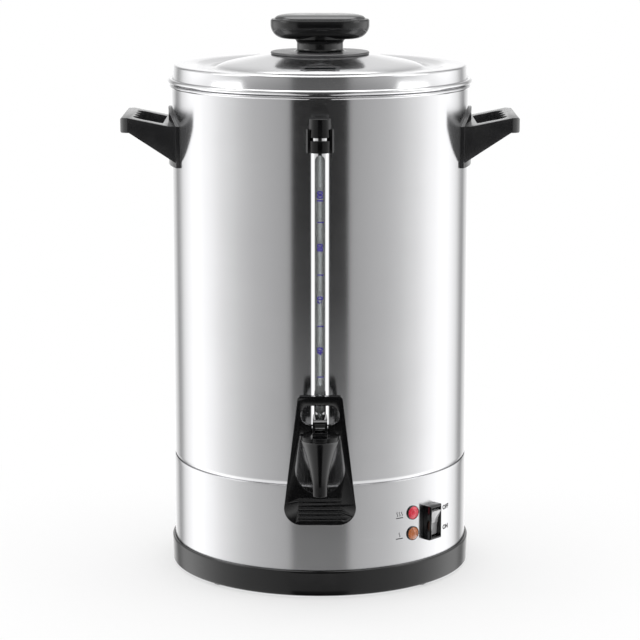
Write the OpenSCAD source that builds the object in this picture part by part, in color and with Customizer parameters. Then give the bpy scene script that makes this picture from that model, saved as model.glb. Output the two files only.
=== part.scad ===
// Coffee urn: a steel percolator tank on a heated base, with a push tap.
// Units are millimetres. +Z is up, the tap faces -Y, and the origin lies on
// the table under the centre of the base.

/* [Base] */
// How far the base ring stands out beyond the tank wall
base_out = 3.3; // [2.8:0.1:8]
// Height of the base ring
base_h = 24; // [20:1:32]
// Wall thickness of the base ring
base_t = 3; // [2:0.1:4]
// How far the rubber feet stand out below the base ring
foot_proj = 2.5; // [1:0.1:6]
// Radius of a rubber foot
foot_r = 9; // [7.5:0.5:9.5]
// Distance of the feet from the outside of the base ring
foot_inset = 13.8; // [12.8:0.1:16.8]
// Thickness of the steel base plate
plate_t = 1.2; // [0.8:0.1:2]
// Distance of the tie rods from the inner wall of the base ring
tie_inset = 6; // [5.6:0.1:9]
// Radius of a tie rod
tie_r = 2.5; // [2:0.1:3]

/* [Skirt] */
// Height of the skirt that shows above the base ring
skirt_h = 82; // [70:1:100]
// How far the skirt stands proud of the tank wall
skirt_proud = 0.5; // [0.3:0.1:0.9]
// Thickness of the skirt sheet
skirt_t = 0.8; // [0.6:0.1:1.2]

/* [Tank] */
// Outside radius of the tank wall
tank_r = 141.5; // [134:0.5:150]
// Thickness of the tank sheet
tank_t = 1; // [0.8:0.1:1.4]
// Height of the tank from the seam to its rim
tank_h = 359; // [320:1:420]
// Radius of the rolled rim
rim_r = 1.7; // [1.5:0.1:2]
// Height of the tank floor above the seam
floor_rise = 31; // [28:1:44]
// Inside radius of the heating well
well_r = 35; // [32:1:40]
// Depth of the heating well below the tank floor
well_depth = 25; // [20:1:30]

/* [Heater] */
// Thickness of the aluminium heater plate
heater_t = 4; // [3:0.5:6]
// Radius at which the brewing element runs
brew_ring_r = 26; // [24:0.5:28]
// Radius of the brewing element's tube
brew_tube_r = 3.3; // [2.8:0.1:3.6]
// Radius at which the keep-warm element runs
warm_ring_r = 16; // [13:0.5:17]
// Radius of the keep-warm element's tube
warm_tube_r = 2.6; // [2.2:0.1:3]
// Distance of the thermostats from the centre
thermostat_place = 84; // [70:1:92]

/* [Lid] */
// How far the lid's rolled edge stands out beyond the tank wall
lid_out = 3.5; // [3:0.1:4.5]
// Thickness of the lid sheet
lid_t = 0.8; // [0.6:0.1:1.2]
// Height of the lid's shoulder above the tank rim
lid_h = 18; // [14:0.5:24]
// Depth of the pressed groove inside the shoulder
groove_depth = 3; // [1.5:0.5:5]
// Height of the dome above the groove
dome_h = 12; // [9:0.5:14]
// Width of the steam louvre
louvre_w = 36; // [24:1:42]

/* [Knob] */
// Length of the knob's grip
knob_w = 94; // [80:1:104]
// Depth of the knob's grip, front to back
knob_d = 62; // [54:1:70]
// Height of the knob's grip
knob_h = 23; // [19:1:28]
// Radius of the knob's neck
neck_r = 22; // [16:1:25]
// Height of the knob's neck
neck_h = 12; // [9:1:20]
// Radius of the heat disc under the knob
disc_r = 47; // [40:1:50]
// Thickness of the heat disc
disc_t = 3; // [2:0.5:5]

/* [Handles] */
// Width of a handle along the tank
handle_w = 100; // [90:1:110]
// How far a handle reaches out from the tank wall
handle_reach = 46; // [43:1:56]
// Height of a handle where it meets the tank
handle_h = 39; // [34:1:50]
// Height of the handle's outer end
handle_end_h = 14; // [11:0.5:18]
// How much the outer end stands higher than the root
handle_rise = 8; // [2:1:12]
// Depth of the handle's top below the tank rim
handle_drop = 37; // [30:1:50]
// Thickness of the grip bar
grip_t = 11; // [9:0.5:13]
// Thickness of each arm
arm_t = 15; // [12:0.5:18]
// Thickness of the mounting plate on the tank
pad_t = 3; // [2:0.5:4]

/* [Tap] */
// Height of the tap's axis above the tank floor
tap_rise = 12.5; // [12:0.5:20]
// Distance of the spout's axis from the tank wall
spout_reach = 53.5; // [52:0.5:58]
// Radius of the spout's outlet bore
spout_bore = 5; // [4:0.1:5.4]
// Outside radius of the spout at its tip
spout_tip_r = 6.7; // [6.4:0.1:8]
// Outside radius of the valve chamber's top
chamber_r = 17.6; // [16.8:0.1:18]
// Depth of the spout's tip below the tap's axis
spout_drop = 39.5; // [34:0.5:46]
// Radius of the threaded shank
shank_r = 7.5; // [7:0.1:8]
// Radius of the shank's bore
shank_bore = 4.5; // [3.5:0.1:5]
// Radius of the valve stem
stem_r = 2.5; // [2:0.1:2.8]

/* [Lever] */
// Width of the push frame at its top
lever_top_w = 41; // [39:0.5:46]
// Width of the push frame at its paddle
lever_low_w = 65.5; // [60:0.5:70]
// Thickness of the push frame
lever_t = 4.5; // [3.5:0.1:4.8]
// Radius of the lever's pin
lever_pin_r = 1.5; // [1.2:0.1:1.8]
// Swing of the lever when it is pushed, in degrees
lever_swing = 15; // [13:0.5:16]
// Height by which the lever lifts the valve
valve_lift = 2.6; // [2.2:0.1:2.8]
// Number of ribs on the paddle
rib_count = 6; // [3:1:6]

/* [Gauge] */
// Distance of the gauge's axis from the tank wall
gauge_reach = 16.5; // [16:0.1:17]
// Outside radius of the gauge shield
shield_r = 8.4; // [8.2:0.1:9]
// Thickness of the shield
shield_t = 0.8; // [0.6:0.1:1]
// Width of the shield's slot
slot_w = 8.9; // [7:0.1:10]
// Outside radius of the sight tube
glass_r = 6.8; // [6:0.1:6.9]
// Wall thickness of the sight tube
glass_t = 1.4; // [1:0.1:2]
// Depth of the gauge collar below the tank rim
collar_drop = 48.5; // [44:0.5:70]
// Height of the gauge cap
cap_h = 17; // [15:0.5:22]

/* [Controls] */
// Angle of the lamps from the front, in degrees
lamp_angle = 37.7; // [30:0.1:38]
// Angle of the switch from the front, in degrees
switch_angle = 46.8; // [46.5:0.1:60]
// Height of the lower lamp above the base ring
lamp_low = 28; // [20:1:34]
// Distance between the two lamps
lamp_gap = 20; // [17:0.5:26]
// Radius of a lamp's lens
lens_r = 6; // [5:0.1:6.2]
// Width of the switch frame
switch_w = 16.6; // [15.6:0.1:17]
// Height of the switch frame
switch_h = 33; // [31:0.5:38]
// How far the switch frame stands out
switch_proud = 8.4; // [7:0.1:10]
// Tilt of the rocker to each side of its middle, in degrees
rocker_tilt = 12; // [8:1:12]

/* [Percolator] */
// Outside radius of the pump stem
pump_r = 7; // [6:0.1:8]
// Outside radius of the pump's bell
bell_r = 33; // [28:0.5:34]
// Radius of the coffee basket
basket_r = 105; // [90:1:112]
// Height of the coffee basket
basket_h = 62; // [50:1:70]
// Depth of the basket's rim below the tank rim
basket_drop = 21; // [16:1:30]
// Radius of a basket perforation
perf_r = 1.5; // [1:0.1:2]

/* [Fits] */
// Radial clearance of a part that turns or slides
run_gap = 0.05; // [0.03:0.01:0.08]
// Gap between seated parts that move against each other
seat_gap = 0.3; // [0.25:0.01:0.4]
// Gap between curved parts that are fixed together
fix_gap = 0.1; // [0.05:0.01:0.2]

/* [Hidden] */

$fn = 96;
eps = 0.01;
cut = 1;
weld = 1;
reach = 20;
through = 5;

// Heights of the stack
shelf_drop = 4;
ring_z = foot_proj;
ring_top = ring_z + base_h;
shelf_z = ring_top - shelf_drop;
seam_z = ring_top + skirt_h;
rim_z = seam_z + tank_h;
floor_z = seam_z + floor_rise;
floor_under = floor_z - tank_t;
well_z = floor_z - well_depth;

// Radii of the shells
skirt_r = tank_r + skirt_proud;
skirt_in = skirt_r - skirt_t;
lip_draw = 0.3;
neck_r_out = skirt_in - lip_draw - seat_gap;
tank_in = tank_r - tank_t;
rim_c = tank_in + rim_r - 0.2;
neck_foot = seam_z - 10;
seam_bend = 1.2;
base_r = tank_r + base_out;
ring_draft = 0.5;
ring_in = base_r - ring_draft - base_t;

// Base details
plate_drop = 1.3;
plate_z = ring_z + plate_drop;
plate_top = plate_z + plate_t;
shelf_t = 3;
rib_t = 2.5;
ring_ribs = 16;
boss_r = 4;
boss_clear = 0.5;
foot_place = base_r - foot_inset;
shelf_in = foot_place - boss_r - boss_clear - rib_t;
tie_place = shelf_in - tie_inset;
base_screw_r = 1.9;
base_screw_l = 12;
hole_gap = 0.2;
press_gap = 0.02;
foot_seat = 2.2;
foot_head_r = 4;
foot_angles = [45, 135, 225, 315];
lug_w = 20;
nut_r = 5;
nut_h = 4;
tie_angles = [25, 155, 205, 335];
vent_count = 24;
vent_place = 78;
vent_size = [30, 5];

// Heater details
heater_top = well_z - tank_t;
heater_z = heater_top - heater_t;
heater_gap = 1;
heater_bore = 4;
tube_rise = 1;
terminal_h = 14;
terminal_l = 6;
thermostat_angles = [60, 150];
fuse_angle = 200;
terminal_r = 1.4;
well_flare = [22, 8];
floor_lip = 12;

// Lid details
lid_r = tank_r + lid_out;
lid_edge_r = 2.5;
lid_edge_z = rim_z + seat_gap + lid_edge_r;
lid_wall_gap = 0.6;
lid_wall_r = tank_in - lid_wall_gap;
lid_wall_drop = 6;
lid_bend = 1.2;
lid_top = rim_z + lid_h;
groove_z = lid_top - groove_depth;
groove_out = lid_wall_r - 21;
groove_in = lid_wall_r - 27;
dome_out = lid_wall_r - 40;
dome_z = groove_z + dome_h;
dome_span = dome_out - disc_r - 1;
louvre_wall = 1.2;
louvre_front = dome_out - 11;
louvre_back = louvre_front - 21;
louvre_z = dome_at(louvre_front) + 3.4;
louvre_foot = dome_at(louvre_front) + 0.3;
louvre_mouth_w = louvre_w - 8;

// Knob details
disc_z = dome_z;
neck_z = disc_z + disc_t;
grip_z = neck_z + neck_h;
knob_top = grip_z + knob_h;
knob_screw_r = 2.5;
knob_screw_in = 6;
cap_seat = 6.2;
bowl_curve = 13;
bowl_rim = [1, 4.6, 6];

// Handle details
handle_top = rim_z - handle_drop;
handle_low = handle_top - handle_h;
handle_end = tank_r + handle_reach;
hand_in = tank_r + 6.5;
hand_out = handle_end - grip_t;
finger_r = 10.2;
finger_count = 4;
finger_pitch = (handle_w - 2 * arm_t) / finger_count;
handle_screw_r = 2.5;
handle_screw_l = 5;
handle_screw_z = [handle_low + 18.5, handle_top - 8];

// Tap details. The second coordinate of forward parts is the distance from the tank's axis.
tap_z = floor_z + tap_rise;
spout_f = tank_r + spout_reach;
gauge_f = tank_r + gauge_reach;
washer_t = 2;
washer_r = 10.8;
flange_f = tank_r + fix_gap + washer_t;
flange_r = 13;
flange_t = 3;
shank_in = 16;
shank_start = tank_r - shank_in;
shank_end = spout_f - 13;
collar_wall = 2.4;
nut_gap = 0.6;
shank_nut_t = 4.5;
spout_z = tap_z - spout_drop;
chamber_top = tap_z + 13.5;
flare_z = spout_z + 8;
flare_power = 1.4;
valve_seat = tap_z - 9;
stem_low = valve_seat + 3;
bonnet_plug_r = chamber_r - 4.9;
bonnet_plug_h = 7.5;
bonnet_t = 3.3;
bonnet_top = chamber_top + bonnet_t;
bonnet_lobes = 8;
pin_z = bonnet_top + 6.7;
hub_r = 3.2;
hub_w = 8.8;
hub_h = 4.2;
plug_h = 5;
plug_r = 7.2;
spring_r = 4;
spring_wire = 0.5;
spring_turns = 5;

// Gauge details
seal_r = shield_r - 0.4;
seal_z = tap_z + 8;
seal_t = 0.5;
boss_wall = 2;
boss_f_r = seal_r + boss_wall;
gauge_boss_top = tap_z + 15.5;
gauge_bore = 4;
slot_low_z = gauge_boss_top + 14;
slot_top_gap = 2;
collar_z = rim_z - collar_drop;
collar_h = 11;
collar_w = 25;
collar_ring = 2.1;
ear_h = 10;
gauge_screw_r = 1.6;
gauge_screw_z = collar_z + collar_h + 6;
cap_gap = 2.6;
cap_z = collar_z + collar_h + cap_gap;
shield_top = cap_z + 6.3;
glass_top = shield_top + 3;

// Lever details
lever_top = pin_z + 24;
lever_low = pin_z - 96;
lever_gap = 2;
lever_f = gauge_f + boss_f_r + lever_gap;
lever_front = lever_f + lever_t;
lever_rim = [2, 1.6];
paddle_r = 16;
rib_pitch = 4;
rib_size = [39, 0.8, 1.4];
cheek_t = 2.1;
cheek_x = hub_w / 2 + hole_gap;
yoke_w = 2 * (cheek_x + cheek_t);
yoke_r = 4.4;
yoke_top = pin_z + 7.4;
yoke_cap_t = 1.8;
heel_z = bonnet_top + seat_gap;
heel_h = 3.7;
heel_t = 3.5;
heel_drop = pin_z - heel_z;
heel_f = spout_f + (valve_lift + heel_drop * (1 - cos(lever_swing))) / sin(lever_swing);
window_r = 22.7;
window_z = lever_low + 29 + window_r;
crossbar_z = pin_z - 13;
crossbar_h = 10.6;
upper_h = lever_top - 8.5 - crossbar_z - crossbar_h;

// Switch and lamp details, measured outward from the skirt
pivot_out = 1.1;
rocker_half = 12.4;
rocker_w = switch_w - 4;
box_inset = [1.8, 3.4];
box_d = 20;
blade_pitch = 8;
blade_size = [6, 0.8];
trunnion_r = 1.5;
trunnion_l = 1;
switch_z = ring_top + lamp_low + lamp_gap / 2 - 2;
lamp_lip = 0.8;
lamp_wall = 0.9;
lamp_d = 14;
lamp_seat = 0.9;

// Inlet details, at the back
inlet_z = ring_top + 34;
inlet_w = 28;
inlet_h = 22;
inlet_d = 19;
inlet_wall = 2;
inlet_plate = [50, 27, 6];
inlet_mouth = [24, 16.4];
inlet_screw_x = 20;
inlet_screw_r = 1.6;
inlet_f = skirt_r + 3.5;
pin_size = [2, 4];
pin_places = [[-7, -2], [0, 2], [7, -2]];
pin_back = 9;
pin_sunk = 4;

// Percolator details
bell_z = well_z + seat_gap;
bell_neck = [13, 13];
bell_h = 19;
valve_z = bell_z + 20;
pump_top = rim_z - 5.5;
basket_top = rim_z - basket_drop;
basket_z = basket_top - basket_h;
sheet_t = 1;
cover_t = 0.8;
sleeve_r = pump_r + 0.4;
sleeve_h = 26;
bead_r = 1.2;
perf_pitch = 16;

// Left-hand normal of the step from a to b
function side(a, b) = let (d = b - a) [-d[1], d[0]] / norm(d);
// Mitred offset direction at point i of a path
function miter(p, i) =
    let (n = len(p) - 1,
         u = side(p[max(i - 1, 0)], p[max(i, 1)]),
         v = side(p[min(i, n - 1)], p[min(i + 1, n)]))
    (u + v) / (1 + u * v);
// Closed outline of a sheet of thickness t on the left of a path
function sheet(p, t) =
    concat(p, [for (i = [len(p) - 1:-1:0]) p[i] + t * miter(p, i)]);
// Points of an arc about c
function arc(c, r, a0, a1, n) =
    [for (i = [0:n]) let (a = a0 + (a1 - a0) * i / n) c + r * [cos(a), sin(a)]];
// Outside radius of the spout at height z
function spout_radius(z) =
    spout_tip_r + (chamber_r - spout_tip_r)
        * pow(max(0, z - flare_z) / (chamber_top - flare_z), flare_power);

// Height of the dome's top face at a radius
function dome_at(r) = groove_z + dome_h * sin(90 * (dome_out - r) / dome_span);
// Dome's top face from its foot to the heat disc, lowered by a drop
function dome_path(drop) =
    [for (i = [0:8]) let (r = dome_out - dome_span * i / 8) [r, dome_at(r) - drop]];

// Sheet metal turned about the Z axis
module spun_sheet(path, t) {
    rotate_extrude() polygon(sheet(path, t));
}

// Children stand on the front of a wall: X runs along it, Y up and Z outward
module on_wall(angle, r, z) {
    rotate([0, 0, angle]) translate([0, -r, z]) rotate([90, 0, 0]) children();
}

// A rod that lies forward of the tank's axis, from f0 to f1
module forward_rod(z, r, f0, f1) {
    on_wall(0, f0, z) cylinder(r = r, h = f1 - f0);
}

// Children drawn in the Y-Z plane, extruded along X about the middle
module along_x(w) {
    rotate([90, 0, 90]) linear_extrude(w, center = true) children();
}

// Flat plan of a slot with round ends, centred, w wide and h high overall
module slot_plan(w, h) {
    d = min(w, h);
    square([w - (w > h ? d : 0), h - (h >= w ? d : 0)], center = true);
    for (s = [-1, 1])
        translate([s * (w - d) / 2, s * (h - d) / 2]) circle(d = d);
}

// Rectangle from corner a to corner b with rounded corners
module round_plan(a, b, r) {
    translate([a[0] + r, a[1]]) square([b[0] - a[0] - 2 * r, b[1] - a[1]]);
    translate([a[0], a[1] + r]) square([b[0] - a[0], b[1] - a[1] - 2 * r]);
    for (x = [a[0] + r, b[0] - r], y = [a[1] + r, b[1] - r])
        translate([x, y]) circle(r);
}

// Rounded rectangle about the middle, w wide and h high
module round_box(w, h, r) {
    round_plan([-w / 2, -h / 2], [w / 2, h / 2], r);
}

// Block about the middle, t thick, with its front edges bevelled by b
module bevelled_block(w, h, t, b) {
    hull() {
        linear_extrude(t - b) square([w, h], center = true);
        linear_extrude(t) square([w - 2 * b, h - 2 * b], center = true);
    }
}

// Children at each angle around Z, at distance r
module ring_of(angles, r) {
    for (a = angles) rotate([0, 0, a]) translate([r, 0, 0]) children();
}

// Round wire bent to a helix about Z
module coil(r, wire_r, h, turns) {
    n = 16 * turns;
    sides = 8;
    pts = [for (i = [0:n], j = [0:sides - 1])
        let (a = 360 * turns * i / n, b = 360 * j / sides, q = r + wire_r * cos(b))
        [q * cos(a), q * sin(a), h * i / n + wire_r * sin(b)]];
    walls = [for (i = [0:n - 1], j = [0:sides - 1])
        let (k = (j + 1) % sides)
        [i * sides + j, (i + 1) * sides + j, (i + 1) * sides + k, i * sides + k]];
    ends = [[for (j = [0:sides - 1]) j], [for (j = [sides - 1:-1:0]) n * sides + j]];
    polyhedron(pts, concat(walls, ends), convexity = 6);
}

// ---- Tank and its heater ----

module tank() {
    color("silver") difference() {
        rotate_extrude() {
            polygon(sheet([
                [neck_r_out, neck_foot], [neck_r_out, seam_z - lip_draw],
                [tank_r, seam_z + seam_bend], [tank_r, rim_z - rim_r]], tank_t));
            translate([rim_c, rim_z - rim_r]) circle(rim_r);
        }
        forward_rod(tap_z, shank_r + fix_gap, tank_in - through, tank_r + through);
        forward_rod(gauge_screw_z, gauge_screw_r + 2 * hole_gap, tank_in - through, tank_r + through);
        for (s = [90, -90], z = handle_screw_z)
            on_wall(s, tank_in - through, z) cylinder(r = handle_screw_r + hole_gap, h = 2 * through);
    }
}

// Pressed floor with a turned-down edge and a deep well for the heater
module tank_floor() {
    edge_r = tank_in - fix_gap;
    color("lightgray") spun_sheet([
        [0, well_z], [well_r, well_z], [well_r, floor_z - well_flare[1]],
        [well_r + well_flare[0], floor_z], [edge_r, floor_z],
        [edge_r, floor_z - floor_lip]], -tank_t);
}

module heater_plate() {
    color("darkgray") rotate_extrude() difference() {
        translate([heater_bore, heater_z])
            square([well_r - heater_gap - heater_bore, heater_t]);
        translate([brew_ring_r, heater_z - brew_tube_r + tube_rise]) circle(brew_tube_r + fix_gap);
        translate([warm_ring_r, heater_z - warm_tube_r + tube_rise]) circle(warm_tube_r + fix_gap);
    }
}

// Tube of a heating element: most of a ring with two pins that turn down
module element(ring_r, tube_r, sweep) {
    z = heater_z - tube_r + tube_rise;
    rotate([0, 0, 90 - sweep / 2]) translate([0, 0, z])
        rotate_extrude(angle = sweep) translate([ring_r, 0]) circle(tube_r);
    for (s = [-1, 1]) rotate([0, 0, 90 + s * sweep / 2]) translate([ring_r, 0, 0]) {
        translate([0, 0, z]) sphere(tube_r + run_gap);
        translate([0, 0, z - terminal_h]) cylinder(r = tube_r, h = terminal_h);
        translate([0, 0, z - terminal_h - terminal_l])
            cylinder(r = terminal_r, h = terminal_l + weld);
    }
}

module brew_element() {
    color("dimgray") element(brew_ring_r, brew_tube_r, 300);
}

module warm_element() {
    color("slategray") element(warm_ring_r, warm_tube_r, 270);
}

// One disc thermostat: flanged cup, moulded body and two blades
module thermostat() {
    flange = [8, 2];
    body = [6.6, 6];
    blade = [0.8, 6, 7];
    blade_x = 3.2;
    body_z = floor_under - flange[1] - body[1];
    translate([0, 0, floor_under - flange[1]]) cylinder(r = flange[0], h = flange[1]);
    translate([0, 0, body_z]) cylinder(r = body[0], h = body[1] + eps);
    for (s = [-1, 1])
        translate([s * blade_x - blade[0] / 2, -blade[1] / 2, body_z - blade[2]])
            cube([blade[0], blade[1], blade[2] + eps]);
}

module thermostats() {
    color("tan") ring_of(thermostat_angles, thermostat_place) thermostat();
}

// Fuse link in its insulating sleeve, clipped under the floor
module thermal_fuse() {
    link = [2.4, 24];
    clip = [8, 6, 1];
    post = [2, 4, 2];
    color("ivory") rotate([0, 0, fuse_angle]) translate([thermostat_place, 0, floor_under]) {
        translate([0, link[1] / 2, -link[0] - clip[2]]) rotate([90, 0, 0])
            cylinder(r = link[0], h = link[1]);
        translate([-clip[0] / 2, -clip[1] / 2, -clip[2]]) cube(clip);
        translate([-post[0] / 2, -post[1] / 2, -clip[2] / 2 - post[2]]) cube(post);
    }
}

// ---- Skirt and base ----

module skirt() {
    lip = [6, 0.9];
    color("gainsboro") difference() {
        rotate_extrude() polygon(sheet([
            [skirt_r, shelf_z], [skirt_r, seam_z - lip[0]],
            [skirt_r - lip_draw, seam_z - lip[1]]], skirt_t));
        on_wall(switch_angle, skirt_r - reach / 2, switch_z) linear_extrude(reach)
            square([switch_w - box_inset[0] + 2 * hole_gap,
                switch_h - box_inset[1] + 2 * hole_gap], center = true);
        for (i = [0, 1]) lamp_place(i) translate([0, 0, -reach / 2])
            cylinder(r = lens_r - lamp_lip + fix_gap, h = reach);
        on_wall(180, skirt_r - reach / 2, inlet_z) linear_extrude(reach)
            square([inlet_w + 2 * seat_gap, inlet_h + 2 * seat_gap], center = true);
        for (s = [-1, 1])
            on_wall(180, skirt_r - reach / 2, inlet_z) translate([s * inlet_screw_x, 0, 0])
                cylinder(r = inlet_screw_r + hole_gap, h = reach);
    }
}

// Moulded ring: outer wall, shelf for the skirt, inner wall, ribs, bosses and lugs
module base_ring() {
    foot_edge = [1.2, 1.5];
    wall_foot = 6;
    lip = [0.9, 2.2];
    shelf_low = shelf_z - shelf_t;
    color("#1c1c1e") difference() {
        union() {
            rotate_extrude() {
                polygon([
                    [ring_in, ring_z], [base_r - foot_edge[0], ring_z],
                    [base_r, ring_z + foot_edge[1]], [base_r, ring_z + wall_foot],
                    [base_r - ring_draft, ring_top - lip[1]],
                    [skirt_r + seat_gap + lip[0], ring_top], [skirt_r + seat_gap, ring_top],
                    [skirt_r + seat_gap, shelf_z], [shelf_in, shelf_z],
                    [shelf_in, plate_top], [shelf_in + rib_t, plate_top],
                    [shelf_in + rib_t, shelf_low], [ring_in, shelf_low]]);
            }
            ring_of([for (i = [0:ring_ribs - 1]) (i + 0.5) * 360 / ring_ribs], shelf_in + weld)
                translate([0, -rib_t / 2, plate_top + weld])
                    cube([ring_in - shelf_in, rib_t, shelf_low - plate_top]);
            ring_of(foot_angles, foot_place)
                translate([0, 0, plate_top]) cylinder(r = boss_r, h = shelf_z - plate_top - weld);
            ring_of(tie_angles, tie_place - lug_w / 2)
                translate([0, -lug_w / 2, shelf_low])
                    cube([shelf_in - tie_place + lug_w / 2 + weld, lug_w, shelf_t]);
        }
        ring_of(foot_angles, foot_place)
            translate([0, 0, plate_z]) cylinder(r = base_screw_r + run_gap, h = base_screw_l + weld);
        ring_of(tie_angles, tie_place)
            translate([0, 0, ring_z]) cylinder(r = tie_r + hole_gap, h = base_h);
    }
}

module base_plate() {
    edge_gap = 0.4;
    color("gray") difference() {
        translate([0, 0, plate_z]) cylinder(r = ring_in - edge_gap, h = plate_t);
        ring_of(foot_angles, foot_place) translate([0, 0, plate_z - cut])
            cylinder(r = base_screw_r + hole_gap, h = plate_t + 2 * cut);
        ring_of([for (i = [0:vent_count - 1]) i * 360 / vent_count], vent_place)
            translate([0, 0, plate_z - cut]) linear_extrude(plate_t + 2 * cut)
                slot_plan(vent_size[0], vent_size[1]);
    }
}

module base_feet() {
    edge = 1;
    draft = 0.4;
    color("#2a2a2a") ring_of(foot_angles, foot_place) rotate_extrude() difference() {
        polygon([[0, 0], [foot_r - edge, 0], [foot_r, edge], [foot_r - draft, plate_z], [0, plate_z]]);
        translate([-eps, -cut]) square([foot_head_r + draft, foot_seat + cut]);
        translate([-eps, 0]) square([base_screw_r + hole_gap, plate_z + cut]);
    }
}

module base_screws() {
    head_low = 0.4;
    edge = 0.8;
    point = 0.5;
    color("silver") ring_of(foot_angles, foot_place) rotate_extrude()
        polygon([[0, head_low], [foot_head_r - edge, head_low], [foot_head_r, head_low + edge],
            [foot_head_r, foot_seat], [base_screw_r, foot_seat],
            [base_screw_r, plate_z + base_screw_l], [0, plate_z + base_screw_l + point]]);
}

module tie_rods() {
    past_nut = 3;
    flange = [tie_r + 3, 2];
    low = shelf_z - shelf_t - nut_h - past_nut;
    color("silver") ring_of(tie_angles, tie_place) {
        translate([0, 0, low]) cylinder(r = tie_r, h = floor_under - low);
        translate([0, 0, floor_under - flange[1]]) cylinder(r = flange[0], h = flange[1]);
    }
}

module tie_nuts() {
    color("goldenrod") ring_of(tie_angles, tie_place)
        translate([0, 0, shelf_z - shelf_t - nut_h]) difference() {
            cylinder(r = nut_r, h = nut_h, $fn = 6);
            translate([0, 0, -cut]) cylinder(r = tie_r + run_gap, h = nut_h + 2 * cut);
        }
}

// ---- Inlet for a detachable lead, at the back of the skirt ----

module inlet_socket() {
    body_f = inlet_f - inlet_d - inlet_wall;
    head_seat = 1.8;
    head_r = 3.4;
    color("#202022") difference() {
        union() {
            on_wall(180, inlet_f - inlet_plate[2], inlet_z) linear_extrude(inlet_plate[2])
                round_box(inlet_plate[0], inlet_plate[1], 4);
            on_wall(180, body_f, inlet_z) linear_extrude(inlet_d)
                square([inlet_w, inlet_h], center = true);
        }
        difference() {
            translate([0, 0, inlet_z - inlet_plate[1]])
                cylinder(r = skirt_r + fix_gap, h = 2 * inlet_plate[1]);
            on_wall(180, body_f - cut, inlet_z) linear_extrude(inlet_d + reach)
                square([inlet_w, inlet_h], center = true);
        }
        on_wall(180, inlet_f - inlet_d, inlet_z) linear_extrude(inlet_d + cut)
            round_box(inlet_mouth[0], inlet_mouth[1], 3);
        inlet_blades(run_gap, inlet_d + pin_back + cut);
        for (s = [-1, 1])
            on_wall(180, inlet_f - reach, inlet_z) translate([s * inlet_screw_x, 0, 0]) {
                cylinder(r = inlet_screw_r + hole_gap, h = reach + cut);
                translate([0, 0, reach - head_seat]) cylinder(r = head_r, h = head_seat + cut);
            }
    }
}

// Three flat blades, each grown by a gap all round
module inlet_blades(gap, length) {
    on_wall(180, inlet_f - inlet_d - pin_back, inlet_z) for (p = pin_places)
        translate([p[0], p[1], 0]) linear_extrude(length)
            square([pin_size[0] + 2 * gap, pin_size[1] + 2 * gap], center = true);
}

module inlet_pins() {
    color("goldenrod") inlet_blades(0, inlet_d + pin_back - pin_sunk);
}

module inlet_screws() {
    length = 12.3;
    head_drop = 1.7;
    head = [3, 0.7];
    crown = [2, 1.6, 1.9];
    color("silver") on_wall(180, inlet_f - length - head_drop, inlet_z)
        for (s = [-1, 1]) translate([s * inlet_screw_x, 0, 0]) rotate_extrude()
            polygon([[0, 0], [inlet_screw_r, 0], [inlet_screw_r, length], [head[0], length],
                [head[0], length + head[1]], [crown[0], length + crown[1]],
                [0, length + crown[2]]]);
}

// ---- Switch and lamps ----

// Deep frame with a box behind the skirt, open at the front
module switch_frame() {
    bevel = 1.2;
    floor_d = 7;
    end_gap = 4;
    slit = [6, 1, 8];
    color("#151517") on_wall(switch_angle, skirt_r, switch_z) difference() {
        union() {
            translate([0, 0, fix_gap])
                bevelled_block(switch_w, switch_h, switch_proud - fix_gap, bevel);
            translate([0, 0, -box_d]) linear_extrude(box_d + weld)
                square([switch_w - box_inset[0], switch_h - box_inset[1]], center = true);
        }
        translate([0, 0, pivot_out - floor_d]) linear_extrude(floor_d + reach)
            square([rocker_w + 2 * seat_gap, 2 * rocker_half + end_gap], center = true);
        translate([0, 0, pivot_out]) rotate([0, 90, 0])
            cylinder(r = trunnion_r + run_gap, h = rocker_w + 2 * (trunnion_l + run_gap + fix_gap),
                center = true);
        for (y = [-blade_pitch, 0, blade_pitch])
            translate([-slit[0] / 2, y - slit[1] / 2, -box_d - cut]) cube(slit);
    }
}

// Rocker seen from its side: a shallow V on a round hub
module rocker_side() {
    hub = 4;
    edge = 1.2;
    tip = 5.2;
    dip = 3.4;
    keel = [4.5, 2.5];
    polygon([[-rocker_half, edge], [-rocker_half, tip], [0, dip], [rocker_half, tip],
        [rocker_half, edge], [keel[0], -keel[1]], [-keel[0], -keel[1]]]);
    circle(hub);
}

module switch_rocker() {
    color("#232326") on_wall(switch_angle, skirt_r + pivot_out, switch_z) {
        rotate([rocker_tilt, 0, 0]) rotate([90, 0, 90])
            linear_extrude(rocker_w, center = true) rocker_side();
        rotate([0, 90, 0])
            cylinder(r = trunnion_r, h = rocker_w + 2 * trunnion_l, center = true);
    }
}

module switch_terminals() {
    back = 30;
    length = 16.5;
    color("goldenrod") on_wall(switch_angle, skirt_r - back, switch_z)
        for (y = [-blade_pitch, 0, blade_pitch])
            translate([-blade_size[0] / 2, y - blade_size[1] / 2, 0])
                cube([blade_size[0], blade_size[1], length]);
}

// Places of the two lamps, lower first
module lamp_place(i) {
    on_wall(lamp_angle, skirt_r, ring_top + lamp_low + i * lamp_gap) children();
}

module lamp_bezels() {
    rim = [0.8, 0.8, 1.4];
    edge = 0.3;
    bore = lens_r - lamp_lip - lamp_wall;
    color("#2b2b2d") for (i = [0, 1]) lamp_place(i) rotate_extrude()
        polygon([[bore, -lamp_d], [lens_r - lamp_lip, -lamp_d], [lens_r - lamp_lip, fix_gap],
            [lens_r + rim[0], fix_gap], [lens_r + rim[0], rim[1]], [lens_r + rim[0] - edge, rim[2]],
            [lens_r + fix_gap, rim[2]], [lens_r + fix_gap, lamp_seat], [bore, lamp_seat]]);
}

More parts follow.
